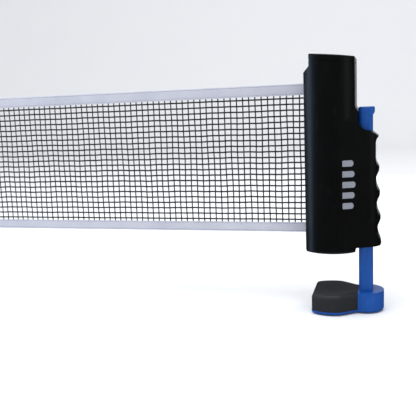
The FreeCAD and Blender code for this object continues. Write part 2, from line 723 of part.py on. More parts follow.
def casing_mark():
    """A plain raised motif of bars on the front of the grip, thin as a print."""
    lean = (S.barrel_radius - S.grip_end_radius) / S.grip_end_x
    along = (1.0 - lean * lean).root()
    outer = padded("mark_outer", "XY_Plane", S.grip_bottom, S.grip_top, [[
        ((S.barrel_radius + S.mark_thick) * lean, -(S.barrel_radius + S.mark_thick) * along),
        (S.grip_end_x + (S.grip_end_radius + S.mark_thick) * lean,
         -(S.grip_end_radius + S.mark_thick) * along),
        (S.grip_end_x, 0), (0, 0)]])
    inner = padded("mark_inner", "XY_Plane", S.grip_bottom, S.grip_top, [[
        (0, -S.barrel_radius / along),
        (S.grip_end_x + S.grip_end_radius * lean, -S.grip_end_radius * along),
        (S.grip_end_x + S.grip_end_radius * lean, 1), (0, 1)]])
    bars = []
    for number in range(MARK_BARS):
        offset = number - (MARK_BARS - 1) / 2
        height = S.mark_height + S.mark_pitch * offset
        share = 1.0 - MARK_TAPER * abs(offset)
        half, stroke = S.mark_bar * share / 2, S.mark_stroke / 2
        end_arc = stroke * MARK_END
        bars.append(padded(f"mark_bar_{number}", "XZ_Plane", -S.barrel_radius * OVERRUN, 0, [[
            (S.mark_x - half, height - stroke),
            (S.mark_x + half, height - stroke, end_arc, 1),
            (S.mark_x + half, height + stroke),
            (S.mark_x - half, height + stroke, end_arc, 1),
        ]]))
    layer = cut("mark_layer", outer, inner)
    node("casing_mark", common("casing_mark", layer, fuse("mark_bars", *bars)))


# --- reel --------------------------------------------------------------------------------------------


def reel():
    """Reel tube, its plugs with flanges and bushings, and the net left on it."""
    low, high = tube_ends()
    blank = turned("tube_blank", [
        (S.tube_radius - S.tube_wall, low), (S.tube_radius, low),
        (S.tube_radius, high), (S.tube_radius - S.tube_wall, high)])
    groove_y = S.tube_radius - S.tube_wall / 2
    clip_place = ((-S.clip_wide / 2, S.clip_wide / 2), (groove_y, S.tube_radius + CUT_START),
                  (low, high))
    node("reel_tube", cut("reel_tube", blank, box("clip_groove", *clip_place)))
    bar = cylinder("clip_round", S.tube_radius, high - low, (0, 0, low))
    node("net_clip", common("net_clip", bar, box("clip_block", *clip_place)))
    bush_outer = S.axle_radius + S.bush_gap + S.bush_wall
    plug = S.tube_radius - S.tube_wall - S.fit_gap / 2
    for name, face, side in (("lower", low, 1), ("upper", high, -1)):
        outside = face - S.flange_thick * side
        inside = face + S.bush_long * side
        node(f"{name}_flange", turned(f"{name}_flange", [
            (bush_outer, outside), (S.flange_radius, outside), (S.flange_radius, face),
            (plug, face), (plug, inside), (bush_outer, inside)]))
        node(f"{name}_bushing", turned(f"{name}_bushing", [
            (S.axle_radius + S.bush_gap, outside), (bush_outer, outside),
            (bush_outer, inside), (S.axle_radius + S.bush_gap, inside)]))
    node("net_roll", turned("net_roll", [
        (S.tube_radius, S.net_low), (S.tube_radius + S.roll_thick, S.net_low),
        (S.tube_radius + S.roll_thick, S.net_high), (S.tube_radius, S.net_high)]))


def reel_mount():
    """Fixed pieces that carry the reel: axle, upper plate, rewind spring and its anchor."""
    low, high = tube_ends()
    plate_low, plate_high = plate_ends()
    axle_low = S.pad_thick + S.seat_thick / 4
    axle_high = plate_high + S.axle_over
    blank = common("plate_blank", barrel("plate_bar", S.shell_wall + S.fit_gap, 0, 0),
                   box("plate_slab", (-FAR, FAR), (-FAR, FAR), (plate_low, plate_high)))
    node("upper_plate", cut("upper_plate", blank,
                            cylinder("plate_bore", S.axle_radius, FAR, (0, 0, high))))
    node("reel_axle", cylinder("reel_axle", S.axle_radius, axle_high - axle_low, (0, 0, axle_low)))
    anchor = cylinder("anchor_blank", S.rewind_radius + S.rewind_wire / 2, S.anchor_long,
                      (0, 0, S.rewind_high))
    node("spring_anchor", cut("spring_anchor", anchor,
                              cylinder("anchor_bore", S.axle_radius, FAR, (0, 0, low))))
    node("rewind_spring", coil("rewind_spring", S.rewind_radius, S.rewind_wire, S.rewind_pitch,
                               low + S.bush_long + S.run_gap, S.rewind_high - S.fit_gap))


# --- net ---------------------------------------------------------------------------------------------


def net():
    """The pulled-out net: netting between two tapes, and its end hem with the bar and hooks."""
    x = (-S.net_far, -S.net_near)
    mesh_low, mesh_high = S.net_low + S.low_tape_wide, S.net_high - S.top_tape_wide

    def layer(thick):
        return S.net_plane - thick / 2, S.net_plane + thick / 2

    node("net_mesh", box("net_mesh", x, layer(S.mesh_thick), (mesh_low, mesh_high)))
    node("top_tape", box("top_tape", x, layer(S.tape_thick), (mesh_high, S.net_high)))
    node("bottom_tape", box("bottom_tape", x, layer(S.tape_thick), (S.net_low, mesh_low)))

    bar_x = -S.net_far - S.bar_beyond
    bar_low, bar_high = S.net_low - S.bar_over, S.net_high + S.bar_over
    node("end_bar", cylinder("end_bar", S.bar_radius, bar_high - bar_low, (bar_x, S.net_plane, bar_low)))
    sleeve = cylinder("hem_sleeve", S.bar_radius + S.hem_wall, S.net_high - S.net_low,
                      (bar_x, S.net_plane, S.net_low))
    flap = box("hem_flap", (bar_x, -S.net_far), layer(S.tape_thick), (S.net_low, S.net_high))
    bore = cylinder("hem_bore", S.bar_radius, FAR, (bar_x, S.net_plane, 0))
    node("end_hem", cut("end_hem", fuse("hem_blank", sleeve, flap), bore))

    hooks, caps = [], []
    cap_radius = S.bar_radius + S.hem_wall * 2
    for name, tip, side in (("low", bar_low, -1), ("high", bar_high, 1)):
        start = tip - (S.bar_over - S.hem_wall) * side
        stop = tip + S.hem_wall * 2 * side
        caps.append(turned(f"end_cap_{name}", [
            (0, tip), (S.bar_radius, tip), (S.bar_radius, start), (cap_radius, start),
            (cap_radius, tip), (cap_radius - S.hem_wall, stop), (0, stop)],
            x=bar_x, y=S.net_plane))
        root = bar_x - cap_radius
        throat = start + (tip - start) / 2
        far = root - S.hook_long
        hook = padded(f"end_hook_{name}", "XZ_Plane", S.net_plane - S.hook_thick / 2,
                      S.net_plane + S.hook_thick / 2, [[
                          (root, throat - S.hook_thick / 2 * side),
                          (root, throat + S.hook_thick / 2 * side),
                          (far + S.hook_thick, throat + S.hook_thick / 2 * side),
                          (far + S.hook_thick, throat + S.hook_thick * 2 * side),
                          (far, throat + S.hook_thick * 2 * side),
                          (far, throat - S.hook_thick / 2 * side)]])
        hooks.append(hook)
    node("end_caps", bundle("end_caps", *caps))
    node("end_hooks", bundle("end_hooks", *hooks))


# --- plunger -----------------------------------------------------------------------------------------


def stem():
    """The oval stem: a spring chamber inside, and a slot on each side that clears the fixed peg."""
    bar = stem_prism("stem_bar", 0, -S.stem_low, S.button_low)
    chamber = cylinder("spring_chamber", S.stem_bore, FAR, (S.stem_x, 0, -S.chamber_low))
    half = S.peg_radius + S.run_gap
    slot = box("peg_slot", (S.stem_x - half, S.stem_x + half), (-S.stem_deep, S.stem_deep),
               (S.peg_height - S.close_travel - half, S.peg_height + S.open_travel + half))
    pilot = cylinder("foot_pilot", S.foot_shank, S.stem_low - S.chamber_low - S.foot_pilot_end,
                     (S.stem_x, 0, -S.stem_low))
    pin = pin_bar("stem_pin_bore", S.fit_gap)
    node("stem", cut("stem", bar, chamber, slot, pilot, pin))


def pin_bar(name, gap):
    """The cross pin that ties the thumb button's plug to the stem."""
    gap = Size.of(gap)
    half = S.stem_wide / 2 - S.pin_short + gap
    return cylinder(name, S.screw_radius, half * 2,
                    (S.stem_x - half, 0, S.button_low - S.button_plug / 2), X)


def thumb_button():
    """The button: rounded on top, undercut outboard, with a round plug in the spring chamber."""
    low, high = S.button_low, S.button_low + S.button_tall
    inboard = S.stem_x - S.stem_wide / 2
    outboard = S.stem_x + S.stem_wide / 2
    side = padded("button_side", "XZ_Plane", -S.stem_deep / 2, S.stem_deep / 2, [[
        (inboard, low), (outboard, low),
        (outboard + S.button_over, low + S.button_undercut),
        (outboard + S.button_over, high), (inboard, high)]])
    plan = padded("button_plan", "XY_Plane", low - 1, high + 1,
                  [rounded_corners(S.stem_wide + S.button_over, S.stem_deep, S.stem_round)])
    place(plan, x=S.stem_x + S.button_over / 2, z=low - 1)
    blank = common("button_blank", side, plan)
    soft = rounded("button_soft", blank, S.button_round,
                   lambda edge: level_with(edge, high))
    plug = cylinder("button_plug_bar", S.stem_bore - S.fit_gap, S.button_plug,
                    (S.stem_x, 0, low - S.button_plug))
    body = fuse("button_body", soft, plug)
    node("thumb_button", cut("thumb_button", body, pin_bar("button_pin_bore", 0)))
    node("button_pin", pin_bar("button_pin", 0))


def foot_step():
    """Reel axis to the step between the foot's boss and its pad."""
    return S.stem_x - S.stem_wide / 2 - S.step_gap


def foot_plan(inset):
    """The foot from above: round boss outboard, fan-shaped plate inboard."""
    radius, boss = S.fan_radius - inset, S.boss_radius - inset
    edge = -S.fan_edge + inset
    edge_y = (radius * radius - edge * edge).root()
    turn_y = (radius * radius - S.fan_turn * S.fan_turn).root()
    meet_x = foot_step() - S.boss_x
    meet_y = (boss * boss - meet_x * meet_x).root()
    return [
        (edge, -edge_y, radius, 1),
        (S.fan_turn, -turn_y),
        (foot_step(), -meet_y, boss, 1),
        (S.boss_x + boss, 0, boss, 1),
        (foot_step(), meet_y),
        (S.fan_turn, turn_y, radius, 1),
        (edge, edge_y),
    ]


def foot_screw_bar(name, gap):
    """Screw from under the boss up into the stem's solid end."""
    gap = Size.of(gap)
    bottom = -S.jaw_gap - S.foot_tall
    top = -S.chamber_low - S.foot_screw_end
    return turned(name, [
        (0, bottom + S.foot_head_low - gap * OPEN_HEAD),
        (S.foot_head + gap, bottom + S.foot_head_low - gap * OPEN_HEAD),
        (S.foot_head + gap, bottom + S.foot_head_top), (S.foot_shank, bottom + S.foot_head_top),
        (S.foot_shank, top), (0, top)], x=S.stem_x)


def pad_screw_bars(name, gap):
    """Two screws that hold the rubber pad down on the foot's plate."""
    gap = Size.of(gap)
    bottom = -S.jaw_gap - S.foot_tall
    bars = []
    for number, side in enumerate((-1, 1), start=1):
        bars.append(turned(f"{name}_{number}", [
            (0, bottom + S.pad_head_low - gap * OPEN_HEAD),
            (S.screw_head + gap, bottom + S.pad_head_low - gap * OPEN_HEAD),
            (S.screw_head + gap, bottom + S.pad_head_top),
            (S.screw_radius, bottom + S.pad_head_top),
            (S.screw_radius, bottom + S.pad_screw_top), (0, bottom + S.pad_screw_top)],
            x=-S.pad_screw_x, y=side * S.fan_radius / 2))
    return bars


def foot():
    """Foot with its boss and plate, the rubber pad that meets the table, and their screws."""
    bottom, top = -S.jaw_gap - S.foot_tall, -S.jaw_gap
    plate_top = bottom + S.plate_tall
    blank = padded("foot_blank", "XY_Plane", bottom, top, [foot_plan(Size.of(0))])
    corners = rounded("foot_corners", blank, S.foot_corner, plan_corner)
    soft = rounded("foot_soft", corners, S.foot_rounding, lambda edge: level_with(edge, bottom))
    bed = box("pad_bed", (-FAR, foot_step()), (-FAR, FAR), (plate_top, FAR))
    socket = stem_prism("stem_socket", 0, -S.stem_low, 0)
    node("foot", cut("foot", soft, bed, socket, foot_screw_bar("foot_screw_bore", S.fit_gap),
                     *pad_screw_bars("pad_screw_bore", S.fit_gap)))
    rubber = padded("rubber_blank", "XY_Plane", plate_top, top, [foot_plan(S.pad_side_gap)])
    rubber_corners = rounded("rubber_corners", rubber, S.foot_corner, plan_corner)
    rubber_soft = rounded("rubber_soft", rubber_corners, S.rubber_rounding,
                          lambda edge: level_with(edge, top))
    trimmed = common("rubber_trimmed", rubber_soft,
                     box("rubber_side", (-FAR, foot_step() - S.fit_gap), (-FAR, FAR), (-FAR, FAR)))
    node("foot_pad", cut("foot_pad", trimmed, *pad_screw_bars("pad_screw_thread", 0)))
    node("foot_screw", foot_screw_bar("foot_screw", 0))
    node("pad_screws", bundle("pad_screws", *pad_screw_bars("pad_screw", 0)))


def clamp_spring():
    """The fixed peg and disc in the stem's chamber, and the spring that lifts the button's plug."""
    half = S.stem_deep / 2 + S.run_gap + S.peg_hold
    node("spring_peg", cylinder("spring_peg", S.peg_radius, half * 2,
                                (S.stem_x, -half, S.peg_height), Y))
    disc_low = S.peg_height + S.peg_radius
    node("spring_disc", cylinder("spring_disc", S.stem_bore - S.run_gap, S.seat_disc,
                                 (S.stem_x, 0, disc_low)))
    node("clamp_spring", coil("clamp_spring", S.spring_radius, S.spring_wire, S.spring_pitch,
                              disc_low + S.seat_disc, S.button_low - S.button_plug, x=S.stem_x))


def stem_bushes():
    """Guide bushes that the stem slides in, held in pockets at the grip's top and bottom."""
    wall = S.run_gap + S.bush_wall_stem
    for name, low, tall in (("lower", S.grip_bottom + S.low_bush_inset, S.low_bush_tall),
                            ("upper", S.high_bush_low, S.high_bush_tall)):
        ring = stem_prism(f"{name}_bush_ring", wall, low, low + tall)
        room = stem_prism(f"{name}_bush_way", S.run_gap, low - 1, low + tall + 1)
        node(f"{name}_guide_bush", cut(f"{name}_guide_bush", ring, room))


def write_parts():
    """Check every object and every sub-part, then write one STEP file for each sub-part."""
    doc.recompute()
    for thing in doc.Objects:
        bad = [state for state in thing.State if state in ("Invalid", "Error")]
        if bad:
            raise RuntimeError(f"{thing.Label} is {bad}")
    for label, thing in nodes.items():
        if thing.Shape.isNull() or not thing.Shape.isValid() or not thing.Shape.Solids:
            raise RuntimeError(f"{label} has no sound solid")
        print(f"{label}: {len(thing.Shape.Solids)} solids, {thing.Shape.Volume:.1f} mm3")
    os.makedirs("parts", exist_ok=True)
    for label, thing in nodes.items():
        thing.Shape.exportStep(f"parts/{label}.step")


casing_halves()
slot_guides()
top_cap()
seat()
casing_screws()
casing_mark()
reel()
reel_mount()
net()
stem()
thumb_button()
foot()
clamp_spring()
stem_bushes()
write_parts()
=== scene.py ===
"""Table tennis net clamp: the looks of a roll-up net's post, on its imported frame."""

import json
import logging
import math
from dataclasses import dataclass, field
from enum import Enum

import bmesh
import bpy
import numpy as np
from mathutils import Matrix, Vector


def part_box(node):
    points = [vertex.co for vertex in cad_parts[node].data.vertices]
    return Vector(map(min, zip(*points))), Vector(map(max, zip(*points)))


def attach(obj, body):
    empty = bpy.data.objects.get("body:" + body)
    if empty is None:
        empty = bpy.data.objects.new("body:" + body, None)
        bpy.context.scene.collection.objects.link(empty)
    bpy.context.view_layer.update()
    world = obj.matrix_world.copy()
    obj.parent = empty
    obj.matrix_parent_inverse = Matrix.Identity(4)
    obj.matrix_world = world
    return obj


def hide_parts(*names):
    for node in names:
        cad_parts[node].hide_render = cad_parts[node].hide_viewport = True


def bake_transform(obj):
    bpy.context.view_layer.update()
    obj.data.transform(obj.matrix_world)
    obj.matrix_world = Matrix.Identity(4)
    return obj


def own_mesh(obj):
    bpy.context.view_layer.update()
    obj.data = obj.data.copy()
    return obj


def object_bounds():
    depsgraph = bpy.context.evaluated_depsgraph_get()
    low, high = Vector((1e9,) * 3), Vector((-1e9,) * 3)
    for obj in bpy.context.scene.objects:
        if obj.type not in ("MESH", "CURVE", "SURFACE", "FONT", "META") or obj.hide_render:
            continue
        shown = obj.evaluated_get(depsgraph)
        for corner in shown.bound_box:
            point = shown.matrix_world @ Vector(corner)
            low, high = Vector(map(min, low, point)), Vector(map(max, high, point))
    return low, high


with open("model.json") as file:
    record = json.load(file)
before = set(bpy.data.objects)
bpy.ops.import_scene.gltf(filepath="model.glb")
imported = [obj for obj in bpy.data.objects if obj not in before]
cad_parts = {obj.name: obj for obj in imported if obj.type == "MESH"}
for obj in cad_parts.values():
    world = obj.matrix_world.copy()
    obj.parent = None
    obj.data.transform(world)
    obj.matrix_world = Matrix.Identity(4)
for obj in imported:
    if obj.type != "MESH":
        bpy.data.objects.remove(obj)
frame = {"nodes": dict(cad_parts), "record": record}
CAD_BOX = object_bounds()

logging.basicConfig(level=logging.INFO, format="%(message)s")
log = logging.getLogger("net_clamp")

MM = 0.001
# Size of the ring that closes a thread's end, as a share of the thread's.
TIP = 0.02
# Keeps a line of no length from dividing by nought.
TINY = 1e-12


class Pattern(Enum):
    """Which small-scale surface a finish carries."""

    GRAIN = "grain"
    RUBBER = "rubber"
    WEAVE = "weave"
    BRUSHED = "brushed"
    THREAD = "thread"


@dataclass(frozen=True)
class Finish:
    """One surface finish.

    Args:
        name: name of the material.
        base: linear base colour.
        tint: second colour that broad variation moves towards.
        rough: mean roughness.
        pattern: the small-scale surface.
        scale: features per metre of the small-scale surface.
        bump: depth of the small-scale surface, in metres.
        metallic: 1 for bare metal.
        specular: strength of the dielectric reflection.
        sheen: cloth sheen.
        wear: how far raised edges lighten, from 0 to 1.
    """

    name: str
    base: tuple
    tint: tuple
    rough: float
    pattern: Pattern
    scale: float
    bump: float
    metallic: float = 0.0
    specular: float = 0.5
    sheen: float = 0.0
    wear: float = 0.0


FINISHES = {
    "casing_black": Finish("satin_black", (0.0022, 0.0022, 0.0024), (0.0038, 0.0038, 0.0042), 0.38,
                           Pattern.GRAIN, 2600.0, 0.00003, specular=0.42, wear=0.25),
    "guide_black": Finish("guide_black", (0.006, 0.006, 0.0065), (0.010, 0.010, 0.011), 0.42,
                          Pattern.GRAIN, 3000.0, 0.00002, wear=0.3),
    "plunger_blue": Finish("plunger_blue", (0.0035, 0.066, 0.315), (0.0055, 0.080, 0.365), 0.38,
                           Pattern.GRAIN, 2400.0, 0.00002, specular=0.32, wear=0.25),
    "seat_rubber": Finish("seat_rubber", (0.010, 0.010, 0.010), (0.018, 0.018, 0.018), 0.78,
                          Pattern.RUBBER, 1500.0, 0.00006),
    "pad_rubber": Finish("pad_rubber", (0.014, 0.015, 0.019), (0.028, 0.029, 0.035), 0.62,
                         Pattern.RUBBER, 1300.0, 0.00006, wear=0.2),
    "mark_grey": Finish("mark_print", (0.21, 0.23, 0.27), (0.27, 0.29, 0.33), 0.52,
                        Pattern.GRAIN, 4000.0, 0.00001),
    "felt_grey": Finish("felt_grey", (0.022, 0.022, 0.025), (0.04, 0.04, 0.044), 0.95,
                        Pattern.RUBBER, 2600.0, 0.00015, sheen=0.5),
    "screw_steel": Finish("zinc_steel", (0.52, 0.53, 0.55), (0.42, 0.42, 0.42), 0.30,
                          Pattern.BRUSHED, 2400.0, 0.00001, metallic=1.0),
    "axle_steel": Finish("ground_steel", (0.56, 0.57, 0.59), (0.48, 0.48, 0.49), 0.22,
                         Pattern.BRUSHED, 3000.0, 0.00001, metallic=1.0),
    "spring_steel": Finish("spring_steel", (0.34, 0.34, 0.36), (0.24, 0.24, 0.25), 0.34,
                           Pattern.BRUSHED, 2600.0, 0.00001, metallic=1.0),
    "reel_plastic": Finish("natural_plastic", (0.55, 0.55, 0.52), (0.62, 0.62, 0.58), 0.45,
                           Pattern.GRAIN, 2200.0, 0.00002),
    "bushing_bronze": Finish("sintered_bronze", (0.42, 0.25, 0.10), (0.30, 0.18, 0.07), 0.44,
                             Pattern.BRUSHED, 1800.0, 0.00002, metallic=1.0),
    "net_black": Finish("net_thread", (0.0055, 0.0057, 0.007), (0.014, 0.014, 0.017), 0.72,
                        Pattern.THREAD, 2400.0, 0.00008, sheen=0.2),
    "tape_white": Finish("woven_tape", (0.44, 0.45, 0.54), (0.60, 0.61, 0.67), 0.82,
                         Pattern.WEAVE, 900.0, 0.00022, sheen=0.25),
    "bar_white": Finish("white_rod", (0.62, 0.63, 0.65), (0.55, 0.55, 0.57), 0.38,
                        Pattern.GRAIN, 2600.0, 0.00002),
}
STITCH = Finish("stitch_thread", (0.25, 0.26, 0.37), (0.33, 0.34, 0.46), 0.7,
                Pattern.THREAD, 3200.0, 0.00005)


class NodeDesk:
    """Short calls for wiring a node tree."""

    def __init__(self, tree: bpy.types.NodeTree) -> None:
        """Args:
            tree: the tree that new nodes go in.
        """
        self.tree = tree

    def add(self, kind: str, **settings: object) -> bpy.types.Node:
        """Add a node.

        Args:
            kind: the node's type.
            settings: attributes to set on it.

        Returns:
            The node.
        """
        made = self.tree.nodes.new(kind)
        for key, value in settings.items():
            setattr(made, key, value)
        return made

    def wire(self, out: bpy.types.NodeSocket, into: bpy.types.NodeSocket) -> None:
        """Join two sockets.

        Args:
            out: the socket that gives the value.
            into: the socket that takes it.
        """
        self.tree.links.new(out, into)

    def maths(self, operation: str, first: object, second: object = 0.0) -> bpy.types.NodeSocket:
        """Work out one operation on sockets or numbers.

        Args:
            operation: the operation's name.
            first: a socket or a number.
            second: another, where the operation takes two.

        Returns:
            The result's socket.
        """
        made = self.add("ShaderNodeMath", operation=operation)
        for value, socket in zip((first, second), made.inputs):
            if isinstance(value, bpy.types.NodeSocket):
                self.wire(value, socket)
            else:
                socket.default_value = value
        return made.outputs[0]

    def noise(self, at: bpy.types.NodeSocket, scale: float, detail: float) -> bpy.types.NodeSocket:
        """Noise at a point.

        Args:
            at: the point's socket.
            scale: features per metre.
            detail: octaves.

        Returns:
            Its value's socket, about 0 to 1.
        """
        made = self.add("ShaderNodeTexNoise")
        made.inputs["Scale"].default_value = scale
        made.inputs["Detail"].default_value = detail
        self.wire(at, made.inputs["Vector"])
        return made.outputs[0]

    def span(self, value: bpy.types.NodeSocket, low: float, high: float) -> bpy.types.NodeSocket:
        """Map 0..1 to a range.

        Args:
            value: the value's socket.
            low: what 0 becomes.
            high: what 1 becomes.

        Returns:
            The mapped socket.
        """
        made = self.add("ShaderNodeMapRange")
        made.inputs["To Min"].default_value = low
        made.inputs["To Max"].default_value = high
        self.wire(value, made.inputs["Value"])
        return made.outputs[0]

    def rise(self, value: bpy.types.NodeSocket, start: float, full: float) -> bpy.types.NodeSocket:
        """Map a range to 0..1.

        Args:
            value: the value's socket.
            start: what becomes 0.
            full: what becomes 1.

        Returns:
            The mapped socket.
        """
        made = self.add("ShaderNodeMapRange")
        made.inputs["From Min"].default_value = start
        made.inputs["From Max"].default_value = full
        self.wire(value, made.inputs["Value"])
        return made.outputs[0]

    def drawn_out(self, point: bpy.types.NodeSocket, scale: float) -> bpy.types.NodeSocket:
        """Draw a pattern out along Z.

        Args:
            point: the point's socket.
            scale: what its Z is multiplied by.

        Returns:
            The new point's socket.
        """
        made = self.add("ShaderNodeMapping")
        made.inputs["Scale"].default_value = (1.0, 1.0, scale)
        self.wire(point, made.inputs["Vector"])
        return made.outputs[0]

    def blended(self, factor: bpy.types.NodeSocket, first: tuple, second: tuple) -> bpy.types.Node:
        """Mix two colours.

        Args:
            factor: the socket that says how much of the second shows.
            first: linear colour at 0.
            second: linear colour at 1.

        Returns:
            The mixing node.
        """
        made = self.add("ShaderNodeMix", data_type="RGBA")
        made.inputs["A"].default_value = (*first, 1)
        made.inputs["B"].default_value = (*second, 1)
        self.wire(factor, made.inputs["Factor"])
        return made


@dataclass(frozen=True)
class Variation:
    """The surface variation that all finishes share: broad patches, scuffs and fine grain.

    Args:
        patches: patches per metre.
        patch_detail: octaves of the patches.
        scuffs: scuffs per metre.
        scuff_detail: octaves of the scuffs.
        scuff_drawn: scale that draws the scuffs out along Z.
        scuff_from: noise where a scuff begins.
        scuff_full: noise where a scuff is at its strongest.
        fine_detail: octaves of the fine grain.
    """

    patches: float = 38.0
    patch_detail: float = 3.0
    scuffs: float = 260.0
    scuff_detail: float = 5.0
    scuff_drawn: float = 0.22
    scuff_from: float = 0.56
    scuff_full: float = 0.72
    fine_detail: float = 2.0

    def group(self) -> bpy.types.NodeTree:
        """Build the shared group.

        Returns:
            A group with inputs Point and Scale, and outputs Broad, Scuff and Fine, each about 0 to 1.
        """
        group = bpy.data.node_groups.new("surface_variation", "ShaderNodeTree")
        group.interface.new_socket("Point", in_out="INPUT", socket_type="NodeSocketVector")
        group.interface.new_socket("Scale", in_out="INPUT", socket_type="NodeSocketFloat")
        for name in ("Broad", "Scuff", "Fine"):
            group.interface.new_socket(name, in_out="OUTPUT", socket_type="NodeSocketFloat")
        desk = NodeDesk(group)
        start, end = desk.add("NodeGroupInput"), desk.add("NodeGroupOutput")
        point = start.outputs["Point"]
        desk.wire(desk.noise(point, self.patches, self.patch_detail), end.inputs["Broad"])
        scuff = desk.noise(desk.drawn_out(point, self.scuff_drawn), self.scuffs, self.scuff_detail)
        desk.wire(desk.rise(scuff, self.scuff_from, self.scuff_full), end.inputs["Scuff"])
        fine = desk.add("ShaderNodeTexNoise")
        fine.inputs["Detail"].default_value = self.fine_detail
        desk.wire(point, fine.inputs["Vector"])
        desk.wire(start.outputs["Scale"], fine.inputs["Scale"])
        desk.wire(fine.outputs[0], end.inputs["Fine"])
        return group


@dataclass
class Paintbox:
    """Builds each finish's material once.

    Args:
        shared: the surface variation that all finishes share.
        brushed: scale that draws brushed metal out along Z.
        brushed_detail: octaves of the brushed lines.
        wear_gain: what worn plastic's base colour is multiplied by.
        wear_lift: what is added to it.
        edge_from: pointiness where an edge begins to wear.
        edge_full: pointiness where it wears most.
        rough_spread: how far the roughness strays from its mean over the broad patches.
        scuff_rough: how much rougher a scuff is.
        strength: strength of the small-scale surface.
        made: the materials built so far.
    """

    shared: Variation = Variation()
    brushed: float = 0.05
    brushed_detail: float = 3.0
    wear_gain: float = 2.2
    wear_lift: float = 0.006
    edge_from: float = 0.52
    edge_full: float = 0.60
    rough_spread: float = 0.05
    scuff_rough: float = 0.06
    strength: float = 0.7
    made: dict[str, bpy.types.Material] = field(default_factory=dict)

    def __post_init__(self) -> None:
        """Build the group that each material places."""
        self.group = self.shared.group()

    def relief(self, desk: NodeDesk, finish: Finish, point: bpy.types.NodeSocket,
               fine: bpy.types.NodeSocket) -> bpy.types.NodeSocket:
        """The height of a finish's small-scale surface.

        Args:
            desk: the material's tree.
            finish: the finish.
            point: the place that is shaded.
            fine: the shared fine grain.

        Returns:
            The height's socket, about 0 to 1.
        """
        if finish.pattern in (Pattern.GRAIN, Pattern.RUBBER):
            return fine
        if finish.pattern is Pattern.BRUSHED:
            return desk.noise(desk.drawn_out(point, self.brushed), finish.scale, self.brushed_detail)
        split = desk.add("ShaderNodeSeparateXYZ")
        desk.wire(point, split.inputs[0])
        x, y, z = split.outputs
        turn = 2 * math.pi * finish.scale
        if finish.pattern is Pattern.WEAVE:
            warp = desk.maths("SINE", desk.maths("MULTIPLY", x, turn))
            weft = desk.maths("SINE", desk.maths("MULTIPLY", z, turn))
            raised = desk.maths("MULTIPLY", warp, weft)
        else:
            along = desk.maths("ADD", desk.maths("ADD", x, z), y)
            raised = desk.maths("SINE", desk.maths("MULTIPLY", along, turn))
        return desk.maths("ADD", desk.maths("MULTIPLY", raised, 0.5), fine)

    def worn(self, desk: NodeDesk, finish: Finish, colour: bpy.types.NodeSocket,
             scuff: bpy.types.NodeSocket) -> bpy.types.NodeSocket:
        """Lighten a finish where its raised edges are scuffed.

        Args:
            desk: the material's tree.
            finish: the finish.
            colour: its colour where it isn't worn.
            scuff: the shared scuffs.

        Returns:
            The colour's socket.
        """
        light = (min(1.0, c * self.wear_gain + self.wear_lift) for c in finish.base)
        edge = desk.add("ShaderNodeNewGeometry").outputs["Pointiness"]
        raised = desk.rise(edge, self.edge_from, self.edge_full)
        amount = desk.maths("MULTIPLY", desk.maths("MULTIPLY", raised, scuff), finish.wear)
        made = desk.blended(amount, finish.base, tuple(light))
        desk.wire(colour, made.inputs["A"])
        return made.outputs["Result"]

    def paint(self, finish: Finish) -> bpy.types.Material:
        """Build a finish's material, or give the one already built.

        Args:
            finish: the finish.

        Returns:
            The material.
        """
        if finish.name in self.made:
            return self.made[finish.name]
        material = bpy.data.materials.new(finish.name)
        material.use_nodes = True
        desk = NodeDesk(material.node_tree)
        shader = next(n for n in material.node_tree.nodes if n.type == "BSDF_PRINCIPLED")
        shader.inputs["Metallic"].default_value = finish.metallic
        shader.inputs["Specular IOR Level"].default_value = finish.specular
        shader.inputs["Sheen Weight"].default_value = finish.sheen
        point = desk.add("ShaderNodeTexCoord").outputs["Object"]
        shared = desk.add("ShaderNodeGroup", node_tree=self.group)
        shared.inputs["Scale"].default_value = finish.scale
        desk.wire(point, shared.inputs["Point"])
        broad, scuff, fine = (shared.outputs[n] for n in ("Broad", "Scuff", "Fine"))

        colour = desk.blended(broad, finish.base, finish.tint).outputs["Result"]
        if finish.wear:
            colour = self.worn(desk, finish, colour, scuff)
        desk.wire(colour, shader.inputs["Base Color"])

        spread = desk.span(broad, finish.rough - self.rough_spread, finish.rough + self.rough_spread)
        rough = desk.maths("ADD", spread, desk.maths("MULTIPLY", scuff, self.scuff_rough))
        desk.wire(rough, shader.inputs["Roughness"])
        bump = desk.add("ShaderNodeBump")
        bump.inputs["Distance"].default_value = finish.bump
        bump.inputs["Strength"].default_value = self.strength
        desk.wire(self.relief(desk, finish, point, fine), bump.inputs["Height"])
        desk.wire(bump.outputs[0], shader.inputs["Normal"])
        self.made[finish.name] = material
        return material


def mesh_object(name: str, verts: np.ndarray, faces: np.ndarray, material: bpy.types.Material,
                smooth: bool = True) -> bpy.types.Object:
    """Make an object of quads at the origin, its place in its mesh.

    Args:
        name: the object's name.
        verts: n x 3 points in the row frame, in metres.
        faces: m x 4 point numbers.
        material: its material.
        smooth: whether its faces are shaded smooth.

    Returns:
        The object.
    """
    mesh = bpy.data.meshes.new(name)
    mesh.from_pydata(np.asarray(verts, float).tolist(), [], np.asarray(faces, int).tolist())
    shape = bmesh.new()
    shape.from_mesh(mesh)
    bmesh.ops.recalc_face_normals(shape, faces=shape.faces)
    shape.to_mesh(mesh)
    shape.free()
    mesh.polygons.foreach_set("use_smooth", np.full(len(mesh.polygons), smooth))
    mesh.update()
    made = bpy.data.objects.new(name, mesh)
    bpy.context.scene.collection.objects.link(made)
    made.data.materials.append(material)
    return made


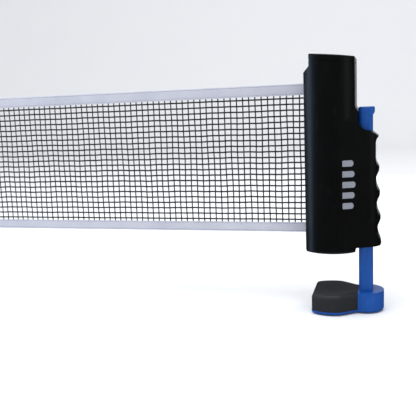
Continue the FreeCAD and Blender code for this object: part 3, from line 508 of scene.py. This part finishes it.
def tubes(lines: np.ndarray, wide: float, deep: float, sides: int) -> tuple[np.ndarray, np.ndarray]:
    """Closed oval threads along many lines in planes of constant or gently varying y.

    Ring k of a line stands on its point p_k: p_k + a cos(u) n + b sin(u) Y, where n is the unit normal
    of the line in the XZ plane, a = wide / 2, b = deep / 2 and u runs once round.

    Args:
        lines: m x n x 3 points, m lines of n points.
        wide: thread's width in the plane of the net.
        deep: thread's depth across it.
        sides: points round a ring.

    Returns:
        Points and quads, the ends closed by a shrunken last ring.
    """
    lines = np.concatenate([lines[:, :1], lines, lines[:, -1:]], axis=1)
    many, long, _ = lines.shape
    along = np.gradient(lines, axis=1)
    along[:, 0], along[:, -1] = along[:, 1], along[:, -2]
    normal = np.stack([-along[..., 2], np.zeros((many, long)), along[..., 0]], -1)
    normal /= np.linalg.norm(normal, axis=-1, keepdims=True) + TINY
    size = np.ones(long)
    size[[0, -1]] = TIP
    angle = 2 * np.pi * np.arange(sides) / sides
    across = np.cos(angle)[None, None, :, None] * normal[:, :, None] * wide / 2
    depth = np.sin(angle)[None, None, :, None] * np.array([0.0, 1.0, 0.0]) * deep / 2
    points = lines[:, :, None] + (across + depth) * size[None, :, None, None]
    line, ring, side = np.meshgrid(np.arange(many), np.arange(long - 1), np.arange(sides), indexing="ij")
    start = (line * long + ring) * sides
    after = (side + 1) % sides
    quads = np.stack([start + side, start + sides + side, start + sides + after, start + after], -1)
    k = np.arange(sides // 2 - 1)
    cap = np.stack([k, k + 1, sides - 2 - k, sides - 1 - k], -1)
    ends = (np.arange(many)[:, None] * long + np.array([0, long - 1])).reshape(-1, 1, 1) * sides
    return points.reshape(-1, 3), np.concatenate([quads.reshape(-1, 4), (ends + cap).reshape(-1, 4)])


def slab(front: np.ndarray, back: np.ndarray) -> tuple[np.ndarray, np.ndarray]:
    """The thin closed body between two grids, with a rim of quads round their edges.

    Args:
        front: n x k x 3 points.
        back: as many points, behind them.

    Returns:
        Points and quads.
    """
    n, k, _ = front.shape
    i, j = np.meshgrid(np.arange(n - 1), np.arange(k - 1), indexing="ij")
    a = (i * k + j).ravel()
    face = np.stack([a, a + k, a + k + 1, a + 1], -1)
    edge = np.concatenate([np.arange(k), np.arange(1, n) * k + k - 1,
                           (n - 1) * k + np.arange(k - 2, -1, -1), np.arange(n - 2, 0, -1) * k])
    after = np.roll(edge, -1)
    rim = np.stack([edge, after, after + n * k, edge + n * k], -1)
    points = np.concatenate([front.reshape(-1, 3), back.reshape(-1, 3)])
    return points, np.concatenate([face, n * k + face[:, ::-1], rim])


def folded(name: str, points: np.ndarray, material: bpy.types.Material) -> bpy.types.Object:
    """A folded cloth from rings of points, each ring front, back, back inside and front inside.

    Args:
        name: the object's name.
        points: n x 4k x 3, n rings of four runs of k points.
        material: its material.

    Returns:
        The object.
    """
    many, ring, _ = points.shape
    run = ring // 4
    i, j = np.meshgrid(np.arange(many - 1), np.arange(ring), indexing="ij")
    after = (j + 1) % ring
    sides = np.stack([i * ring + j, i * ring + after, (i + 1) * ring + after, (i + 1) * ring + j],
                     -1).reshape(-1, 4)
    k = np.arange(run - 1)
    front = np.stack([k, k + 1, ring - 2 - k, ring - 1 - k], -1)
    back = np.stack([2 * run - 1 - k, 2 * run - 2 - k, 2 * run + k + 1, 2 * run + k], -1)
    fold = np.array([(run - 1, run, 3 * run - 1, 3 * run)])
    end = np.concatenate([front, back, fold])
    return mesh_object(name, points.reshape(-1, 3), np.concatenate([sides, end, end + (many - 1) * ring]),
                       material)


@dataclass(frozen=True)
class Stitching:
    """Lock stitches, each an arc that dips into the cloth at its ends.

    Args:
        pitch: from one stitch to the next.
        long: length of a stitch.
        wide: width of the sewing thread.
        deep: its depth.
        points: points along a stitch.
        sides: points round it.
    """

    pitch: float = 2.6 * MM
    long: float = 2.0 * MM
    wide: float = 0.42 * MM
    deep: float = 0.30 * MM
    points: int = 5
    sides: int = 6

    def arcs(self, low: float, high: float) -> tuple[np.ndarray, np.ndarray]:
        """Lay stitches along a seam. At u along it, a stitch stands sin(pi u) over its ends.

        Args:
            low: where the seam begins.
            high: where it ends.

        Returns:
            Places along the seam, a row for each stitch, and the heights of one stitch's points.
        """
        starts = np.arange(low + self.pitch, high - self.pitch, self.pitch)
        u = np.linspace(0, 1, self.points)
        return starts[:, None] + self.long * u[None, :], np.sin(np.pi * u)[None, :]

    def sew(self, name: str, lines: list[np.ndarray], paint: Paintbox) -> bpy.types.Object:
        """Make one object of many stitches.

        Args:
            name: the object's name.
            lines: sets of stitches, each m x n x 3 points.
            paint: where the material comes from.

        Returns:
            The object.
        """
        points, quads = tubes(np.concatenate(lines), self.wide, self.deep, self.sides)
        made = mesh_object(name, points, quads, paint.paint(STITCH))
        return made


@dataclass
class NetSizes:
    """Sizes of the netting and its tapes, in metres.

    Args:
        pitch_x: from one upright thread to the next.
        pitch_z: from one row to the next.
        thread: width of a row's thread.
        depth: depth of every thread.
        weave: how far threads stand from the net's plane where they cross.
        wander: how far a limp thread strays from its line.
        upright_share: width of an upright over that of a row.
        samples: points between two crossings.
        sides: points round a thread.
        waves_along: the waves that shift uprights. Each has a share of the wander, radians per metre of x
            and of z, and a phase.
        waves_up: the waves that shift rows, in the same way.
        cloth: thickness of a tape's cloth.
        seams: places of a tape's seams, as shares of the way from its free edges to its fold.
        tape_flat: half thickness of a tape at its edges, as a share of its room.
        tape_crown: how much thicker its middle is.
        groove_wide: half width of a seam's groove, as a share of the tape's height.
        groove_deep: depth of the groove, as a share of the tape's room.
        fold_share: share of the height over which the fold closes.
        fold_least: half thickness left at the fold's end, as a share.
        inner_least: half of the gap left between the two layers.
        pucker: height of the ripples that the stitches pull.
        pucker_between: what is left of them away from a seam.
        edge_wander: how far a tape's edges stray.
        edge_wave: length of that wave.
        tape_rows: points from edge to fold.
        tape_columns: points along a tape.
        stitch_face: place of the stitched face, as a share of the tape's room.
        stitching: the tapes' stitches.
    """

    pitch_x: float = 6.05 * MM
    pitch_z: float = 5.45 * MM
    thread: float = 1.45 * MM
    depth: float = 0.74 * MM
    weave: float = 0.12 * MM
    wander: float = 0.30 * MM
    upright_share: float = 0.85
    samples: int = 4
    sides: int = 6
    waves_along: tuple = ((1.0, 70.0, 55.0, 0.0), (0.6, 210.0, -90.0, 1.3))
    waves_up: tuple = ((0.8, 95.0, 40.0, 0.7), (0.4, 330.0, 0.0, 2.1))
    cloth: float = 0.32 * MM
    seams: tuple = (0.13, 0.86)
    tape_flat: float = 0.80
    tape_crown: float = 0.16
    groove_wide: float = 0.03
    groove_deep: float = 0.30
    fold_share: float = 0.06
    fold_least: float = 0.02
    inner_least: float = 0.02 * MM
    pucker: float = 0.05 * MM
    pucker_between: float = 0.25
    edge_wander: float = 0.10 * MM
    edge_wave: float = 31.0 * MM
    tape_rows: int = 22
    tape_columns: int = 700
    stitch_face: float = 0.56
    stitching: Stitching = Stitching()

    def thread_cover(self, wide: float) -> float:
        """Half the surface of a metre of thread: pi sqrt((w^2 + d^2) / 8) for width w and depth d.

        Args:
            wide: the thread's width.

        Returns:
            The area, in square metres.
        """
        return math.pi * math.sqrt((wide ** 2 + self.depth ** 2) / 8)

    def cover(self) -> float:
        """Cloth in the open net as a share of its rectangle, with one thread for each pitch both ways.

        Returns:
            The share.
        """
        return (self.thread_cover(self.thread) / self.pitch_z
                + self.thread_cover(self.thread * self.upright_share) / self.pitch_x)


@dataclass
class Netting:
    """The pulled-out net: real threads between two stitched tapes.

    Args:
        paint: where the materials come from.
        sizes: the netting's sizes.
    """

    paint: Paintbox
    sizes: NetSizes

    def __post_init__(self) -> None:
        """Look up the netting's room in the frame."""
        self.low, self.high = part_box("net_mesh")

    def waves(self, kinds: tuple, x: np.ndarray, z: np.ndarray) -> np.ndarray:
        """Add up waves w s sin(a x + b z + c), where w is the wander.

        Args:
            kinds: the waves' s, a, b and c.
            x: places along the net.
            z: places up it.

        Returns:
            The shift at each place.
        """
        wander = self.sizes.wander
        return sum(wander * share * np.sin(a * x + b * z + phase) for share, a, b, phase in kinds)

    def wavy(self, x: np.ndarray, z: np.ndarray) -> tuple[np.ndarray, np.ndarray]:
        """Slow wander of a limp net: its waves, times the root of a half sine that is nil at both tapes.

        Args:
            x: places along the net.
            z: places up it.

        Returns:
            Shifts along x and z.
        """
        share = (z - self.low.z) / (self.high.z - self.low.z)
        hold = np.sin(np.pi * np.clip(share, 0, 1)) ** 0.5
        return self.waves(self.sizes.waves_along, x, z) * hold, self.waves(self.sizes.waves_up, x, z) * hold

    def threads(self) -> bpy.types.Object:
        """Horizontal and upright threads that pass over and under each other.

        Returns:
            The netting's object.
        """
        s = self.sizes
        middle = (self.low.y + self.high.y) / 2
        tall, long = self.high.z - self.low.z, self.high.x - self.low.x
        rows = int(round(tall / s.pitch_z))
        columns = int(round(long / s.pitch_x))
        zs = self.low.z + tall * (np.arange(rows) + 0.5) / rows
        xs = self.low.x + long * (np.arange(columns) + 0.5) / columns

        x = np.linspace(self.low.x, self.high.x, columns * s.samples + 1)
        gx, gz = np.meshgrid(x, zs)
        dx, dz = self.wavy(gx, gz)
        cross = s.weave * np.cos(np.pi * (gx - self.low.x) / (long / columns)
                                 + np.pi * np.arange(rows)[:, None])
        flat = np.stack([gx, middle + cross, gz + dz], -1)
        z = np.linspace(self.low.z, self.high.z, rows * s.samples + 1)
        ux, uz = np.meshgrid(xs, z, indexing="ij")
        dx, dz = self.wavy(ux, uz)
        over = -s.weave * np.cos(np.pi * (uz - self.low.z) / (tall / rows)
                                 + np.pi * np.arange(columns)[:, None])
        upright = np.stack([ux + dx, middle + over, uz], -1)
        points_a, quads_a = tubes(flat, s.thread, s.depth, s.sides)
        points_b, quads_b = tubes(upright, s.thread * s.upright_share, s.depth, s.sides)
        log.info("netting: %d rows, %d columns", rows, columns)
        made = mesh_object("netting", np.concatenate([points_a, points_b]),
                           np.concatenate([quads_a, quads_b + len(points_a)]),
                           self.paint.paint(FINISHES["net_black"]))
        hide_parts("net_mesh")
        return made

    def tape(self, node: str, fold_up: bool) -> bpy.types.Object:
        """A tape folded over the net's edge: two layers joined at the fold, puckered along its seams.

        With v from the free edges to the fold, the outer faces stand at T (flat + crown sin(pi v)) from
        the net's plane, less a groove at each seam, and close over the fold as sqrt(1 - v). The inner
        faces lie one cloth's thickness inside them. The faces ripple by r sin(k x), most near a seam.

        Args:
            node: the CAD node that it stands for.
            fold_up: whether the fold is at its upper edge.

        Returns:
            The tape's object.
        """
        low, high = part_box(node)
        middle, half = (low.y + high.y) / 2, (high.y - low.y) / 2
        s = self.sizes
        v = np.linspace(0, 1, s.tape_rows)
        groove = sum(np.exp(-((v - seam) / s.groove_wide) ** 2) for seam in s.seams)
        closing = np.clip((1 - v) / s.fold_share, 0, 1) ** 0.5
        crowned = s.tape_flat + s.tape_crown * np.sin(np.pi * v) - s.groove_deep * groove
        outer = half * crowned * np.maximum(closing, s.fold_least)
        inner = np.maximum(outer - s.cloth, s.inner_least)
        x = np.linspace(low.x, high.x, s.tape_columns)
        ripple = (s.pucker * np.sin(2 * np.pi * x / s.stitching.pitch)[:, None]
                  * (groove + s.pucker_between)[None, :] * closing[None, :])
        front, back = -outer[None, :] - ripple, outer[None, :] + ripple
        inside = np.repeat(inner[None, :], len(x), 0)
        across = np.concatenate([front, back[:, ::-1], inside, -inside[:, ::-1]], 1)
        inner_v = v * (1 - s.cloth / (high.z - low.z))
        share = np.concatenate([v, v[::-1], inner_v, inner_v[::-1]])
        up = share if fold_up else 1 - share
        wander = s.edge_wander * np.sin(2 * np.pi * x / s.edge_wave)[:, None]
        z = np.clip(low.z + (high.z - low.z) * up[None, :] + wander, low.z, high.z)
        y = np.clip(middle + across, low.y, high.y)
        points = np.stack([np.repeat(x[:, None], y.shape[1], 1), y, z], -1)
        made = folded(f"{node}_cloth", points, self.paint.paint(FINISHES["tape_white"]))
        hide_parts(node)
        return made

    def stitches(self, node: str, fold_up: bool) -> bpy.types.Object:
        """Sew a tape's seams, on both of its faces.

        Args:
            node: the tape's CAD node.
            fold_up: whether the tape's fold is at its upper edge.

        Returns:
            The stitches' object.
        """
        low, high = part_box(node)
        s = self.sizes
        x, arc = s.stitching.arcs(low.x, high.x)
        lines = []
        for seam in s.seams:
            share = seam if fold_up else 1 - seam
            z = low.z + (high.z - low.z) * share
            for side in (-1, 1):
                face = (low.y + high.y) / 2 + side * (high.y - low.y) / 2 * s.stitch_face
                y = face + side * 2 * s.pucker * arc + 0 * x
                lines.append(np.stack([x, y, np.full_like(x, z)], -1))
        return s.stitching.sew(f"{node}_stitches", lines, self.paint)

    def build(self) -> None:
        """Make the netting, the tapes and the stitches, and attach them to the post."""
        soft = [self.threads(), self.tape("top_tape", True), self.tape("bottom_tape", False)]
        soft += [self.stitches("top_tape", True), self.stitches("bottom_tape", False)]
        long = self.high.x - self.low.x
        for piece in soft:
            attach(piece, "post")
            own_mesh(piece)
        tall = self.high.z - self.low.z
        long * tall * self.sizes.cover()


@dataclass
class EndHem:
    """The net's far end: a cloth sleeve sewn round the end bar.

    Args:
        paint: where the materials come from.
        seam: place of the seam, as a share of the way from the net to the hem's far side.
        groove_wide: half width of the seam's groove, on the same scale.
        groove_deep: how far the seam pulls the cloth in, as a share.
        flap: the flap's half thickness over that of the tapes.
        least: least half thickness of the hem, and its room round the bar.
        inner_most: how far the inner face may reach, as a share of the outer.
        wave: height of the flap's waves.
        wave_long: their length.
        rows: points across it.
        crowding: power that draws the points across it towards its far side.
        columns: points along it.
        stitch_lift: how far a stitch stands out from the cloth.
        stitching: its stitches.
    """

    paint: Paintbox
    seam: float = 0.16
    groove_wide: float = 0.03
    groove_deep: float = 0.27
    flap: float = 0.92
    least: float = 0.01 * MM
    inner_most: float = 0.995
    wave: float = 0.05 * MM
    wave_long: float = 23.0 * MM
    rows: int = 26
    crowding: float = 0.8
    columns: int = 160
    stitch_lift: float = 0.10 * MM
    stitching: Stitching = Stitching()

    def build(self) -> None:
        """Make the sleeve and its seam.

        At x across the hem, the outer face stands at max(flap, sqrt(R^2 - (x - c)^2)) from the net's
        plane, where R is the sleeve's radius and c the bar's middle. The inner face follows the bar.
        """
        low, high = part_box("end_hem")
        bar_low, bar_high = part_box("end_bar")
        middle, bar_x = (bar_low.y + bar_high.y) / 2, (bar_low.x + bar_high.x) / 2
        bar, sleeve = (bar_high.x - bar_low.x) / 2, (high.y - low.y) / 2
        flap = (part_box("top_tape")[1].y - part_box("top_tape")[0].y) / 2 * self.flap
        v = np.linspace(0, 1, self.rows) ** self.crowding
        x = high.x + (low.x - high.x) * v
        circle = np.sqrt(np.clip(sleeve ** 2 - (x - bar_x) ** 2, 0, None))
        hollow = np.sqrt(np.clip((bar + 2 * self.least) ** 2 - (x - bar_x) ** 2, 0, None))
        groove = np.exp(-((v - self.seam) / self.groove_wide) ** 2)
        outer = np.maximum(circle, flap * (1 - self.groove_deep * groove) * (x > bar_x))
        outer = np.maximum(outer, self.least)
        inner = np.minimum(np.maximum(hollow, self.least), outer * self.inner_most)
        z = np.linspace(low.z, high.z, self.columns)
        wave = self.wave * np.sin(2 * np.pi * z / self.wave_long)[:, None] * (1 - v)[None, :]
        runs = [(-outer, x, wave), (outer[::-1], x[::-1], wave[:, ::-1]),
                (inner, x, wave), (-inner[::-1], x[::-1], wave[:, ::-1])]
        y = np.concatenate([np.clip(middle + side[None, :] + w, low.y, high.y) for side, _, w in runs], 1)
        across = np.concatenate([place for _, place, _ in runs])
        points = np.stack([np.repeat(across[None, :], self.columns, 0), y,
                           np.repeat(z[:, None], y.shape[1], 1)], -1)
        cloth = folded("end_hem_cloth", points, self.paint.paint(FINISHES["tape_white"]))
        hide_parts("end_hem")
        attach(cloth, "net_end")
        self.stitches(middle, flap * (1 - self.groove_deep), high.x + (low.x - high.x) * self.seam)

    def stitches(self, middle: float, face: float, seam_x: float) -> None:
        """Sew the hem's seam, on both of its faces.

        Args:
            middle: place of the net's plane.
            face: how far the stitched face stands from it.
            seam_x: place of the seam.
        """
        low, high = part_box("end_hem")
        up, arc = self.stitching.arcs(low.z, high.z)
        lift = self.stitch_lift * arc
        lines = [np.stack([np.full_like(up, seam_x), middle + side * (face + lift) + 0 * up, up], -1)
                 for side in (-1, 1)]
        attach(self.stitching.sew("end_hem_stitches", lines, self.paint), "net_end")


@dataclass
class SubAssembly:
    """One body of the frame: the finishes of its CAD nodes, and the pieces made for it.

    Args:
        paint: where the materials come from.
        body: the body's name.
    """

    paint: Paintbox
    body: str = ""

    def dress(self) -> None:
        """Give each CAD node of the body the finish that the record names for it."""
        held = frame["record"]["behaviour"]["bodies"][self.body]
        for part in frame["record"]["subparts"]:
            if part["node"] in held:
                node = frame["nodes"][part["node"]]
                node.data.materials.clear()
                node.data.materials.append(self.paint.paint(FINISHES[part["material_slot"]]))
        self.build()
        log.info("%s: %d nodes dressed", self.body, len(held))

    def build(self) -> None:
        """Make the pieces that the body's CAD nodes don't already show."""


@dataclass
class Casing(SubAssembly):
    """The post: shells, cap, seat and slot guides, with a felt in each guide.

    Args:
        felt_rest: thickness of a felt at its edges, as a share of the whole.
        felt_crown: how far its middle stands above them, on the same scale.
        felt_nap: height of the nap, on the same scale.
        felt_edges: powers that shape its rounded edges, across and along.
        felt_hairs: the nap's waves, in radians along the felt and across it.
        felt_rows: points across it.
        felt_columns: points along it.
    """

    body: str = "post"
    felt_rest: float = 0.62
    felt_crown: float = 0.30
    felt_nap: float = 0.06
    felt_edges: tuple = (4, 40)
    felt_hairs: tuple = ((613, 7), (1471, -11))
    felt_rows: int = 10
    felt_columns: int = 220

    def build(self) -> None:
        """Make both felts. A felt's height is rest + crown c + nap c n times its thickness.

        c = (1 - (2u - 1)^a) (1 - (2w - 1)^b) falls off at the edges, and n is two crossed sines.
        """
        low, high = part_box("slot_felts")
        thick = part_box("slot_guide_front")[1].y - low.y
        u, w = np.meshgrid(np.linspace(0, 1, self.felt_rows), np.linspace(0, 1, self.felt_columns),
                           indexing="ij")
        across, along = self.felt_edges
        crown = (1 - (2 * u - 1) ** across) * (1 - (2 * w - 1) ** along)
        hairs = sum(np.sin(a * w + b * u) for a, b in self.felt_hairs)
        nap = 0.5 + hairs / (2 * len(self.felt_hairs))
        rise = thick * (self.felt_rest + self.felt_crown * crown + self.felt_nap * crown * nap)
        x, z = low.x + (high.x - low.x) * u, low.z + (high.z - low.z) * w
        for name, wall, way in (("front", low.y, 1), ("rear", high.y, -1)):
            points, quads = slab(np.stack([x, wall + way * rise, z], -1),
                                 np.stack([x, np.full_like(x, wall), z], -1))
            felt = mesh_object(f"felt_{name}", points, quads, self.paint.paint(FINISHES["felt_grey"]))
            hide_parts("slot_felts")
            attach(felt, self.body)


@dataclass
class Plunger(SubAssembly):
    """The squeeze plunger, and the clamp spring that stretches between it and the fixed peg.

    Args:
        wire: the spring's wire.
        turns: its turns.
        gather: how much closer its end turns lie than the mean, as a share.
        steps: rings to a turn.
        sides: points round the wire.
    """

    body: str = "plunger"
    wire: float = 1.1 * MM
    turns: int = 14
    gather: float = 0.70
    steps: int = 24
    sides: int = 8

    def build(self) -> None:
        """Make the spring: a helix whose height is H (t - g sin(2 pi t) / (2 pi)), t from 0 to 1."""
        low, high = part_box("clamp_spring")
        centre = np.array([(low.x + high.x) / 2, (low.y + high.y) / 2, 0.0])
        radius = (high.x - low.x - self.wire) / 2
        t = np.linspace(0, 1, self.turns * self.steps + 1)
        turn = 2 * np.pi * self.turns * t
        share = t - self.gather * np.sin(2 * np.pi * t) / (2 * np.pi)
        z = low.z + self.wire / 2 + (high.z - low.z - self.wire) * share
        out = np.stack([np.cos(turn), np.sin(turn), np.zeros_like(t)], -1)
        line = centre + radius * out + np.stack([0 * t, 0 * t, z], -1)
        along = np.gradient(line, axis=0)
        along /= np.linalg.norm(along, axis=1, keepdims=True)
        side = np.cross(along, out)
        angle = 2 * np.pi * np.arange(self.sides) / self.sides
        ring = (np.cos(angle)[None, :, None] * out[:, None] + np.sin(angle)[None, :, None] * side[:, None])
        points = line[:, None] + ring * self.wire / 2
        i, j = np.meshgrid(np.arange(len(t) - 1), np.arange(self.sides), indexing="ij")
        after = (j + 1) % self.sides
        quads = np.stack([i * self.sides + j, (i + 1) * self.sides + j,
                          (i + 1) * self.sides + after, i * self.sides + after], -1).reshape(-1, 4)
        k = np.arange(self.sides // 2 - 1)
        cap = np.stack([k, k + 1, self.sides - 2 - k, self.sides - 1 - k], -1)
        spring = mesh_object("clamp_coil", points.reshape(-1, 3),
                             np.concatenate([quads, cap, cap + (len(t) - 1) * self.sides]),
                             self.paint.paint(FINISHES["spring_steel"]))
        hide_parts("clamp_spring")
        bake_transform(spring)


@dataclass
class Reel(SubAssembly):
    """The sprung reel, and the turns of net left on it.

    Args:
        turns: turns of net.
        steps: points to a turn.
        clear: room between the cloth and the tube.
        layer: thickness of one layer, as a share of the roll's over its turns and one more.
        ridge: how deep the hollows between the threads are, as a share of the layer.
        tape_rows: points up each tape.
        thread_rows: points up each thread's share of the netting.
    """

    body: str = "reel"
    turns: float = 1.4
    steps: int = 72
    clear: float = 0.02 * MM
    layer: float = 0.9
    ridge: float = 0.5
    tape_rows: int = 4
    thread_rows: int = 8

    def build(self) -> None:
        """Wind the net with its tapes as one spiral, r(t) = r0 + (r1 - r0) t / T.

        Its outer face stands a layer further out, less ridge times sin^2 of the height between threads.
        The faces above and below the netting take the tapes' finish.
        """
        low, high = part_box("net_roll")
        mesh_low, mesh_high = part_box("net_mesh")
        core = (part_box("reel_tube")[1].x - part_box("reel_tube")[0].x) / 2
        radius = (high.x - low.x) / 2
        layer = (radius - core) / (self.turns + 1) * self.layer
        threads = int(round((mesh_high.z - mesh_low.z) / NetSizes().pitch_z))
        z = np.concatenate([np.linspace(low.z, mesh_low.z, self.tape_rows)[:-1],
                            np.linspace(mesh_low.z, mesh_high.z, threads * self.thread_rows + 1),
                            np.linspace(mesh_high.z, high.z, self.tape_rows)[1:]])
        share, z = np.meshgrid(np.linspace(0, 1, int(self.turns * self.steps)), z, indexing="ij")
        up = np.clip((z - mesh_low.z) / (mesh_high.z - mesh_low.z), 0, 1)
        turn = 2 * np.pi * self.turns * share
        inner = core + self.clear + (radius - core - layer - 2 * self.clear) * share
        outer = inner + layer * (1 - self.ridge * np.sin(np.pi * threads * up) ** 2)
        x, y = (low.x + high.x) / 2, (low.y + high.y) / 2
        faces = [np.stack([x + r * np.cos(turn), y + r * np.sin(turn), z], -1) for r in (outer, inner)]
        points, quads = slab(*faces)
        made = mesh_object("wound_net", points, quads, self.paint.paint(FINISHES["net_black"]))
        made.data.materials.append(self.paint.paint(FINISHES["tape_white"]))
        height = points[quads, 2].mean(1)
        made.data.polygons.foreach_set("material_index",
                                       ((height < mesh_low.z) | (height > mesh_high.z)).astype(int))
        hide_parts("net_roll")
        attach(made, self.body)


@dataclass
class Net(SubAssembly):
    """The pulled-out net and its free end.

    Args:
        sizes: sizes of the netting.
    """

    body: str = "net_end"
    sizes: NetSizes = field(default_factory=NetSizes)

    def build(self) -> None:
        """Make the netting with its tapes, and the end hem."""
        Netting(self.paint, self.sizes).build()
        EndHem(self.paint).build()


@dataclass(frozen=True)
class Lamp:
    """A soft rectangular light.

    Args:
        name: its name.
        place: where it stands.
        size: its width and height.
        power: its power in watts.
        tone: its colour.
    """

    name: str
    place: tuple
    size: tuple
    power: float
    tone: tuple


LAMPS = (
    Lamp("top", (-0.2, -0.5, 2.3), (1.7, 1.7), 40.0, (1.0, 1.0, 1.0)),
    Lamp("left_strip", (-0.95, -0.12, 0.12), (0.16, 0.9), 2.6, (0.50, 0.70, 1.0)),
    Lamp("right", (0.9, -0.45, 0.25), (0.20, 0.6), 0.3, (0.9, 0.95, 1.0)),
    Lamp("behind", (0.10, 1.10, 0.14), (0.40, 0.55), 0.85, (0.96, 0.98, 1.0)),
)


@dataclass
class Studio:
    """The floor, the lights and the camera.

    Args:
        place: where the camera stands.
        yaw: how far it is turned to the left, in degrees.
        pitch: how far it looks up from level.
        roll: how far it is turned about its view.
        lens: its focal length, in millimetres.
        sensor: its sensor's width, in millimetres.
        clip: the nearest and the farthest that it sees.
        aim: the point that the lamps face.
        sky: colour of the light from all round.
        ambient: its strength on matt surfaces.
        reflected: its strength in reflections.
        floor_gap: how far the floor lies under the object.
        near: the floor's front edge.
        back: where the floor begins to curve up.
        radius: radius of that curve.
        high: the wall's height.
        half: half of the floor's width.
        steps: points along the curve.
        floor_tones: the floor's two colours.
        floor_patches: its patches per metre.
        floor_detail: octaves of its patches.
        floor_rough: its roughness.
    """

    place: tuple = (50.74 * MM, -596.77 * MM, 134.03 * MM)
    yaw: float = 15.95
    pitch: float = -8.88
    roll: float = -2.31
    lens: float = 55.555096
    sensor: float = 36.0
    clip: tuple = (0.01, 20.0)
    aim: tuple = (0.0, 0.0, 0.06)
    sky: tuple = (0.95, 0.97, 1.0)
    ambient: float = 0.80
    reflected: float = 0.015
    floor_gap: float = 1.0 * MM
    near: float = -4.0
    back: float = 2.2
    radius: float = 1.2
    high: float = 4.0
    half: float = 6.0
    steps: int = 24
    floor_tones: tuple = ((0.90, 0.91, 0.92), (0.93, 0.93, 0.94))
    floor_patches: float = 6.0
    floor_detail: float = 2.0
    floor_rough: float = 0.9

    def camera(self) -> None:
        """Set the camera. It looks down when unturned, so a level view is a quarter turn about X."""
        data = bpy.data.cameras.new("camera")
        data.sensor_width, data.lens = self.sensor, self.lens
        data.clip_start, data.clip_end = self.clip
        made = bpy.data.objects.new("camera", data)
        bpy.context.scene.collection.objects.link(made)
        turn = (Matrix.Rotation(math.radians(self.yaw), 4, "Z")
                @ Matrix.Rotation(math.pi / 2 + math.radians(self.pitch), 4, "X")
                @ Matrix.Rotation(math.radians(self.roll), 4, "Z"))
        made.matrix_world = Matrix.Translation(Vector(self.place)) @ turn
        bpy.context.scene.camera = made

    def hang(self, lamp: Lamp) -> None:
        """Hang a lamp so that it faces the object.

        Args:
            lamp: the lamp.
        """
        data = bpy.data.lights.new(lamp.name, "AREA")
        data.shape, data.energy, data.color = "RECTANGLE", lamp.power, lamp.tone
        data.size, data.size_y = lamp.size
        made = bpy.data.objects.new(lamp.name, data)
        made.location = lamp.place
        made.rotation_mode = "QUATERNION"
        made.rotation_quaternion = (Vector(self.aim) - Vector(lamp.place)).to_track_quat("-Z", "Y")
        made.visible_camera = False
        bpy.context.scene.collection.objects.link(made)

    def sweep(self) -> None:
        """The floor, curved up behind into a wall: a quarter circle of radius r joins the two."""
        floor = CAD_BOX[0].z - self.floor_gap
        u = np.linspace(0, np.pi / 2, self.steps)
        y = np.concatenate([[self.near], self.back + self.radius * np.sin(u), [self.back + self.radius]])
        z = np.concatenate([[floor], floor + self.radius * (1 - np.cos(u)), [self.high]])
        x = np.array([-self.half, self.half])
        points = np.stack([np.repeat(x, len(y)), np.tile(y, 2), np.tile(z, 2)], -1)
        i = np.arange(len(y) - 1)
        quads = np.stack([i, i + len(y), i + len(y) + 1, i + 1], -1)
        made = mesh_object("floor", points, quads, self.backdrop())
        made.visible_glossy = False

    def world(self) -> None:
        """Soft light all round that the glossy surfaces see as a dark room."""
        world = bpy.data.worlds.new("studio")
        world.use_nodes = True
        desk = NodeDesk(world.node_tree)
        shade = world.node_tree.nodes["Background"]
        shade.inputs["Color"].default_value = (*self.sky, 1)
        path = desk.add("ShaderNodeLightPath")
        desk.wire(desk.span(path.outputs["Is Glossy Ray"], self.ambient, self.reflected),
                  shade.inputs["Strength"])
        bpy.context.scene.world = world
        bpy.context.scene.view_settings.view_transform = "Standard"

    def backdrop(self) -> bpy.types.Material:
        """Pale matt material of the floor.

        Returns:
            The material.
        """
        material = bpy.data.materials.new("floor_pale")
        material.use_nodes = True
        desk = NodeDesk(material.node_tree)
        shader = next(n for n in material.node_tree.nodes if n.type == "BSDF_PRINCIPLED")
        point = desk.add("ShaderNodeTexCoord").outputs["Object"]
        patches = desk.noise(point, self.floor_patches, self.floor_detail)
        mix = desk.blended(patches, *self.floor_tones)
        desk.wire(mix.outputs["Result"], shader.inputs["Base Color"])
        shader.inputs["Roughness"].default_value = self.floor_rough
        return material

    def build(self) -> None:
        """Make the pale floor, the lights and the world."""
        self.sweep()
        for lamp in LAMPS:
            self.hang(lamp)
        self.world()


def main() -> None:
    """Build the stage, the finishes and the net, in that order."""
    studio = Studio()
    studio.camera()
    paint = Paintbox()
    for part in (Casing, Plunger, Reel, Net):
        part(paint).dress()
    studio.build()


if __name__ == "__main__":
    main()
